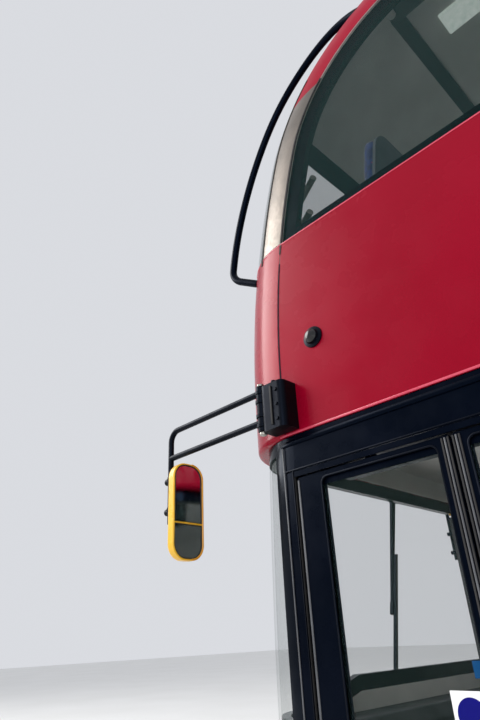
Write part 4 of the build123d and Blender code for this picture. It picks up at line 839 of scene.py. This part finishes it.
mirror_trim = Kit("mirror_gaskets", RUBBER)
for side in SIDES:
    head = Vector((MIRROR_HEAD.x, side * MIRROR_HEAD.y, MIRROR_HEAD.z))
    # the rim's half towards the bus is amber: painted shade
    lip = [(-side * abs(u), v) for u, v in rounded(0.155, 0.401, 0.0615, 10) if u < 0]
    lip.sort(key=lambda point: point[1])
    mirror_trim.tube([head + Vector((-0.0005, u, v)) for u, v in lip], 0.0046, SHADE_AMBER, 10)
    for low, high, cut, middle in ((-0.050, 1.0, -0.050, 0.07), (-1.0, -0.060, -0.060, -0.12)):
        ring = [(u, v) for u, v in rounded(0.146, 0.392, 0.057, 8) if low < v < high]
        ring += [(0.073, cut), (-0.073, cut)]
        ring.sort(key=lambda point: math.atan2(point[1] - middle, point[0]))
        mirror_trim.tube([head + Vector((0.002, u, v)) for u, v in ring], 0.0034, sides=8, closed=True)
    for z in (1.936, 2.071):
        for y in (side * MIRROR_PIN_Y - 0.011, side * MIRROR_PIN_Y + 0.011):
            x = FRONT_X + 0.3245
            mirror_trim.rod((x, y, z), (x + 0.003, y, z), 0.003, STEEL, 6)
mirror_trim.done()

# Wipers: a rubber blade with a lip, a nut on the spindle and a spring along the arm

LEAN = math.asin((SCREEN_MID_Z - NOSE_Z) / NOSE_R)
WIPER_TOP_Z = 2.068
SCREEN_NORMAL = Vector((math.cos(LEAN), 0, math.sin(LEAN)))
FOOT_X = NOSE_X - NOSE_R + NOSE_R * math.cos(LEAN) - (WIPER_TOP_Z - SCREEN_MID_Z) * math.tan(LEAN)
for name, y, length, start, lean in (("wiper_near", 0.040, 1.015, 0.300, 14),
                                     ("wiper_off", -0.960, 0.900, 0.240, 10)):
    turn = math.radians(lean)
    across = Vector((-math.sin(turn) * math.sin(LEAN), math.cos(turn), math.sin(turn) * math.cos(LEAN)))
    arm = plane((FOOT_X, y, WIPER_TOP_Z), across, SCREEN_NORMAL.cross(across))
    kit = Kit(name + "_rubber", RUBBER)
    for lift, half in ((0.0065, 0.004), (0.003, 0.0018)):
        kit.loft([[arm @ Vector((u * half, -along, lift + v * 0.0022))
                   for u, v in ((-1, -1), (1, -1), (1, 1), (-1, 1))] for along in (start, length)])
    kit.rod(arm @ Vector((0, 0, 0.037)), arm @ Vector((0, 0, 0.046)), 0.013, BLACK_MATT, 6, 0.0015)
    for k in range(7):
        kit.tube([arm @ Vector((0.006 * c, -0.075 - 0.028 * k - 0.0035 * t / 4, 0.0415 + 0.004 * s))
                  for t, (c, s) in enumerate(circle(8))], 0.0016, STEEL, 6)
    kit.done(name)

# Lamps

HEADLAMP_Z, INDICATOR_Z, MARKER_Z, TAIL_Y = 0.78, 0.905, 0.585, 0.905
lights = Kit("lamp_lenses", RUBBER)


def dome_lens(at, way, r, mat, bulge=0.012):
    """A round lens over a lamp, with its black rim. way is 1 at the front and -1 at the tail."""
    lights.lathe([(r * 0.97, 0.0), (r * 0.97, bulge * 0.5), (r * 0.86, bulge * 0.8), (r * 0.5, bulge),
                  (0.002, bulge * 1.08)], at, (way, 0, 0), mat, 40)
    lights.lathe([(r * 0.965, -0.004), (r * 0.965, bulge * 0.6), (r * 1.0, bulge * 0.72),
                  (r * 1.07, bulge * 0.45), (r * 1.09, -0.004)], at, (way, 0, 0), RUBBER, 40, closed=True)


def flat_lens(at, across, mat, size, depth, bevel):
    """An upright lens or its rim. size is its width, height and corner radius."""
    lights.plate(rounded(*size), depth, at, across, (0, 0, 1), mat, bevel)


x = front_x(HEADLAMP_Z)
for y, sunk in ((-0.9, 0.010), (-0.7, 0.004), (0.7, 0.004), (0.9, 0.010)):
    dome_lens((x - sunk, y, HEADLAMP_Z), 1, 0.085, LENS_CLEAR, 0.016)
    lights.lathe([(0.020, 0.0), (0.020, 0.008), (0.012, 0.016), (0.002, 0.018)],
                 (x - 0.012, y, HEADLAMP_Z), (1, 0, 0), CHROME)
for side in SIDES:
    for z, mat in ((0.76, LENS_WHITE), (0.90, LENS_AMBER), (1.04, LENS_RED), (1.18, LENS_RED)):
        dome_lens((REAR_X + 0.004, side * TAIL_Y, z), -1, 0.050, mat)
    indicator = (front_x(INDICATOR_Z) - 0.010, side * 0.80, INDICATOR_Z)
    flat_lens(indicator, (0, 1, 0), LENS_AMBER, (0.24, 0.045, 0.018), 0.016, 0.004)
    flat_lens(indicator, (0, 1, 0), RUBBER, (0.262, 0.062, 0.024), 0.010, 0.003)
    reflector = (REAR_X + 0.003, side * TAIL_Y, 0.60)
    flat_lens(reflector, (0, -1, 0), LENS_RED, (0.10, 0.05, 0.012), 0.008, 0.002)
    for x in (3.30, 1.20, -1.10, -2.05, -4.15):
        marker = (x, side * (HALF - 0.002), MARKER_Z)
        flat_lens(marker, (-side, 0, 0), LENS_AMBER, (0.11, 0.038, 0.016), 0.012, 0.004)
        flat_lens(marker, (-side, 0, 0), RUBBER, (0.124, 0.052, 0.02), 0.006, 0.002)
lights.done()

# Grilles: under the bumper line at the nose, and beside the engine

grilles = Kit("body_grilles", BLACK_MATT)
for k in range(6):
    z = 0.318 + 0.021 * k
    grilles.box((front_x(z) - 0.010, -0.42, z - 0.005), (front_x(z) + 0.003, 0.42, z + 0.004), bevel=0.0015)
x = front_x(0.37)
for y in (-0.42, -0.14, 0.14, 0.42):
    grilles.box((x - 0.010, y - 0.006, 0.308), (x + 0.005, y + 0.006, 0.434), bevel=0.002)
for side in SIDES:
    slat_y, tilt = side * HALF + 0.001, Matrix.Rotation(-side * 0.55, 4, "X")
    for k in range(13):
        z = 0.715 + 0.030 * k
        grilles.box((-5.03, slat_y - 0.0025, z - 0.010), (-4.61, slat_y + 0.0025, z + 0.010),
                    bevel=0.001, turn=tilt)
    for x_low, x_high, z_low, z_high in ((-5.045, -5.03, 0.69, 1.09), (-4.61, -4.595, 0.69, 1.09),
                                         (-5.045, -4.595, 0.69, 0.702), (-5.045, -4.595, 1.088, 1.10)):
        grilles.box((x_low, side * (HALF - 0.003), z_low), (x_high, side * (HALF + 0.007), z_high),
                    bevel=0.002)
grilles.done()

# Wheels: treaded tyres in place of the plain ones, nuts and hub bolts

SIDE_WALL = [(0.290, 0.1175), (0.298, 0.1255), (0.320, 0.1315), (0.346, 0.1355), (0.350, 0.1372),
             (0.372, 0.1375), (0.400, 0.1362), (0.404, 0.1345), (0.430, 0.1305), (0.446, 0.1240),
             (0.462, 0.1120), (0.474, 0.1005), (0.480, 0.0920)]
GROOVES = [(r, middle + y) for middle in (0.058, 0.0195)
           for r, y in ((0.480, 0.006), (0.470, 0.0045), (0.470, -0.0045), (0.480, -0.006))]
HALF_TYRE = SIDE_WALL + GROOVES
TYRE_LINE = HALF_TYRE + [(r, -y) for r, y in reversed(HALF_TYRE)]
BLOCKS = 48
SHOULDER_R, SHOULDER_Y, NOTCH = 0.455, 0.063, 0.008
NUT_CIRCLE_R, HUB_CIRCLE_R = 0.1675, 0.097


def tyre(kit, axle_x, centre_y):
    """One tyre with a notch across its shoulders after each tread block."""
    rings = []
    for block in range(BLOCKS):
        for share, depth in ((0.0, 0.0), (0.78, 0.0), (0.82, NOTCH), (0.96, NOTCH)):
            a = 2 * math.pi * (block + share) / BLOCKS
            ring = []
            for r, y in TYRE_LINE:
                r -= depth if r > SHOULDER_R and abs(y) > SHOULDER_Y else 0.0
                ring.append((axle_x + r * math.sin(a), centre_y + y, TYRE_R + r * math.cos(a)))
            rings.append(ring)
    kit.loft(rings, closed=True)


def bolts(kit, axle_x, side, count, start, circle_r, *forms):
    """A circle of bolts. A form is (material, radius, inner y, outer y, sides, bevel)."""
    for k in range(count):
        a = math.radians(360 / count * k + start)
        x, z = axle_x + circle_r * math.sin(a), TYRE_R + circle_r * math.cos(a)
        for mat, r, y_in, y_out, sides, bevel in forms:
            kit.rod((x, side * y_in, z), (x, side * y_out, z), r, mat, sides, bevel)


for axle, axle_x, rows, disc, hub in (("front", FRONT_AXLE_X, (0.0,), 0.112, 0.098),
                                      ("rear", REAR_AXLE_X, (0.0, -0.320), -0.146, -0.052)):
    for end, side in (("near", 1), ("off", -1)):
        name = f"{axle}_wheel_{end}"
        kit = Kit(name + "_treads", TYRE)
        for row in rows:
            tyre(kit, axle_x, side * (WHEEL_Y + row))
        kit.done(name, sharp=28.0, replaces=(name + "_tyre",))
        kit = Kit(name + "_nuts", STEEL)
        y = WHEEL_Y + disc
        bolts(kit, axle_x, side, 10, 18, NUT_CIRCLE_R, (STEEL, 0.0235, y - 0.001, y + 0.004, 20, 0.001),
              (STEEL, 0.019, y + 0.003, y + 0.021, 6, 0.0015))
        y = WHEEL_Y + hub
        bolts(kit, axle_x, side, 8, 10, HUB_CIRCLE_R, (CAST, 0.0075, y - 0.004, y + 0.008, 6, 0.001))
        kit.done(name)

# Seats

SEAT_Y, SEAT_W, PLACE_W = 0.785, 0.860, 0.425
BACK_UP = Vector((-0.11, 0, 0.56)).normalized()
BACK_FRONT = Vector((0.56, 0, 0.11)).normalized()
LOWER_SEATS = {FLOOR_Z: (1.4, 0.7, -1.3, -2.02), CASING_Z: (-4.0, -4.88)}
FIRST_UPPER, UPPER_PITCH = 4.33, 0.81
WELL = (1.35, 3.94)  # no offside seats beside the stair well


def double_seat(pads, shells, hip, y, floor):
    """Two padded places on one shell, a cantilever leg at the gangway and a grab handle."""
    back = Vector((hip - 0.055, y, floor + 0.735))
    for shift in (-PLACE_W / 2, PLACE_W / 2):
        pads.pad((hip + 0.190, y + shift, floor + 0.424), (1, 0, 0.02), (0, 1, 0), (0.420, 0.412, 0.078))
        place = back + Vector((0, shift, 0)) - BACK_FRONT * 0.030
        pads.pad(place, BACK_UP, (0, -1, 0), (0.560, 0.412, 0.062))
    shells.plate(rounded(SEAT_W, 0.610, 0.085), 0.014, back - BACK_FRONT * 0.078, (0, 1, 0), BACK_UP,
                 bevel=0.004)
    out = math.copysign(1, y)
    aisle, wall, edge = y - out * 0.30, y + out * 0.425, y - out * 0.395
    for x_low, x_high, y_low, y_high, z_low, z_high, mat, bevel in (
        (-0.045, 0.372, y - 0.415, y + 0.415, 0.366, 0.388, SHELL, 0.008),
        (0.060, 0.120, aisle - 0.022, aisle + 0.022, 0.012, 0.368, CHASSIS, 0.006),
        (-0.010, 0.190, aisle - 0.060, aisle + 0.060, 0.0, 0.014, CHASSIS, 0.004),
        (0.060, 0.110, aisle, wall, 0.330, 0.367, CHASSIS, 0.004),
    ):
        shells.box((hip + x_low, y_low, floor + z_low), (hip + x_high, y_high, floor + z_high), mat, bevel)
    foot = back - BACK_FRONT * 0.075
    shells.tube([(foot.x + x, edge, foot.z + z) for x, z in (
        (0.0, 0.10), (-0.045, 0.13), (-0.085, 0.24), (-0.080, 0.315), (-0.045, 0.325), (-0.020, 0.27))],
        0.0125, YELLOW, 10)


lower_rows = [(x, side, z) for z, places in LOWER_SEATS.items() for x, side in product(places, SIDES)]
upper_rows = [(x, side, UPPER_FLOOR_Z) for x in [FIRST_UPPER - UPPER_PITCH * k for k in range(12)]
              for side in SIDES if side > 0 or not WELL[0] <= x <= WELL[1]]
for deck, rows in (("lower", lower_rows), ("upper", upper_rows)):
    pads = Kit(deck + "_seat_pads", CLOTH)
    shells = Kit(deck + "_seat_shells", SHELL)
    for x, side, floor_z in rows:
        double_seat(pads, shells, x, side * SEAT_Y, floor_z)
    pads.done(sharp=60.0, replaces=(deck + "_seats",))
    shells.done()

driver = Kit("driver_seat_pads", CLOTH)
driver.pad((4.120, -0.690, 0.915), (1, 0, 0.02), (0, 1, 0), (0.520, 0.510, 0.135), crown=0.10)
driver.pad((3.905, -0.690, 1.290), (-0.10, 0, 0.74), (0, -1, 0), (0.790, 0.505, 0.165), crown=0.10)
driver.done(sharp=60.0)

# Saloons: lights, ceiling ribs and window capping, pole sockets, bell pushes, front rail, stair edges

saloon = Kit("saloon_lights", LIGHT)
for y in (-0.72, 0.72):
    for x in [-4.75 + 1.16 * k for k in range(8)]:
        saloon.box((x, y - 0.07, 4.276), (min(x + 1.04, 3.86), y + 0.07, 4.297), bevel=0.008, segments=3)
        over_stair = y < 0 and 1.0 < x < 3.3
        if x < 3.2 and not over_stair:
            saloon.box((x, y - 0.07, 2.240), (x + 1.04, y + 0.07, 2.262), bevel=0.008, segments=3)
saloon.done()

ceiling = Kit("ceiling_trim", GREY)
RIB_TOP, COVE_Z = 4.2965, 4.06
for y in (-0.98, 0.98):
    ceiling.box((-5.0, y - 0.055, 4.262), (4.03, y + 0.055, RIB_TOP), bevel=0.012, segments=3)
for x in (4.02, 3.3, 1.9, 0.5, -0.9, -2.3, -3.7):
    ceiling.box((x - 0.045, -1.0, 4.272), (x + 0.045, 1.0, RIB_TOP), bevel=0.008)
    for side in SIDES:
        bends = [(x, side * y, z) for y, z in ((0.985, 4.27), (1.09, 4.235), (1.17, 4.155), (1.205, COVE_Z))]
        for start, end in zip(bends, bends[1:]):
            ceiling.rod(start, end, 0.024, LINING, 12)
        if x < 4.0:
            ceiling.box((x - 0.05, side * 1.178, UPPER_WAIST_Z - 0.06), (x + 0.05, side * 1.217, COVE_Z),
                        LINING, 0.008)
for side in SIDES:
    ceiling.box((-5.0, side * 1.165, UPPER_WAIST_Z - 0.10), (4.55, side * 1.226, UPPER_WAIST_Z - 0.055),
                bevel=0.01, segments=3)
ceiling.done()

# The poles' feet and heads, the height of the bell pushes over the floor, and where the poles stand
POLES = (
    (FLOOR_Z, LOWER_CEILING_Z, 1.15, ((3.18, 0.56), (1.83, 0.33), (1.22, 0.33), (1.22, -0.33), (0.48, 0.32),
                                      (-0.96, 0.32), (-0.96, -0.33), (-2.26, 0.33), (-2.26, -0.33))),
    (CASING_Z, LOWER_CEILING_Z, 1.15, ((-3.62, 0.33), (-3.62, -0.33))),
    (UPPER_FLOOR_Z, UPPER_CEILING_Z, 1.05, ((3.7, 0.33), (2.28, 0.33), (0.66, -0.33), (-0.96, 0.33),
                                            (-2.58, -0.33))),
)
SOCKET = [(0.034, 0), (0.034, 0.006), (0.022, 0.030), (0.0175, 0.034)]
fittings = Kit("pole_fittings", BLACK_MATT)
for foot, head, push, places in POLES:
    for x, y in places:
        for z, way in ((foot, 1), (head, -1)):
            fittings.lathe(SOCKET, (x, y, z), (0, 0, way))
        z = foot + push
        fittings.box((x - 0.024, y - 0.022, z), (x + 0.024, y + 0.022, z + 0.10), YELLOW, 0.008)
        for way in (1, -1):
            fittings.rod((x + way * 0.022, y, z + 0.05), (x + way * 0.030, y, z + 0.05), 0.015, BUTTON,
                         bevel=0.002)
RAIL_BENDS = ((0.30, 1.215), (0.12, 1.12), (0.0, 0.95))
for rise in (0.82, 1.00):
    z = UPPER_FLOOR_Z + rise
    x = front_x(z) - 0.16
    offside = [(x - back, -y, z) for back, y in RAIL_BENDS]
    fittings.tube(offside + [(x - back, y, z) for back, y in reversed(RAIL_BENDS)], 0.016, STEEL)
fittings.done()

nosings = Kit("stair_nosings", YELLOW)
RISE, TREAD = (UPPER_FLOOR_Z - FLOOR_Z) / 9, 0.230
for k in range(8):
    x, z = 3.640 - TREAD * k, FLOOR_Z + (k + 1) * RISE
    nosings.box((x - 0.045, -1.222, z - 0.001), (x + 0.003, -0.630, z + 0.003), bevel=0.0012)
    nosings.box((x - 0.001, -1.222, z - 0.028), (x + 0.003, -0.630, z + 0.001), bevel=0.001)
for front, rear in (FRONT_DOOR, CENTRE_DOOR):
    nosings.box((rear + 0.01, 1.175, FLOOR_Z), (front - 0.01, 1.205, FLOOR_Z + 0.003), bevel=0.001)
nosings.done()

# Stage and light

STAGE = 60.0  # half the width of the floor
paint = Paint("studio_floor", rough=0.9)
paint.colour(paint.ramp(paint.noise(0.5, 2.0), (0.2, (226, 226, 224)), (0.9, (234, 234, 233))))
corners = [(x * STAGE, y * STAGE, 0) for x, y in ((-1, -1), (1, -1), (1, 1), (-1, 1))]
floor_mesh = bpy.data.meshes.new("studio_floor")
floor_mesh.from_pydata(corners, [], [(0, 1, 2, 3)])
floor_mesh.materials.append(paint.mat)
floor = bpy.data.objects.new("studio_floor", floor_mesh)
bpy.context.scene.collection.objects.link(floor)

world = bpy.data.worlds.new("studio")
bpy.context.scene.world = world
world.use_nodes = True
background = world.node_tree.nodes["Background"]
background.inputs["Color"].default_value = (0.93, 0.95, 1.0, 1)
background.inputs["Strength"].default_value = 0.75


def lamp(name, location, target, size, power, colour=(1, 1, 1)):
    """A square soft light, aimed at a point."""
    data = bpy.data.lights.new(name, "AREA")
    data.size = size
    data.energy = power
    data.color = colour
    made = bpy.data.objects.new(name, data)
    made.location = location
    made.rotation_euler = (Vector(target) - Vector(location)).to_track_quat("-Z", "Y").to_euler()
    bpy.context.scene.collection.objects.link(made)


lamp("key", (17, 8, 11), (1.5, 0, 2.2), 10.0, 2300, (1.0, 0.98, 0.95))
lamp("fill", (-3, 15, 5), (0, 0, 2), 8.0, 700)
lamp("back", (-13, -10, 10), (-2, 0, 2.2), 7.0, 1300)
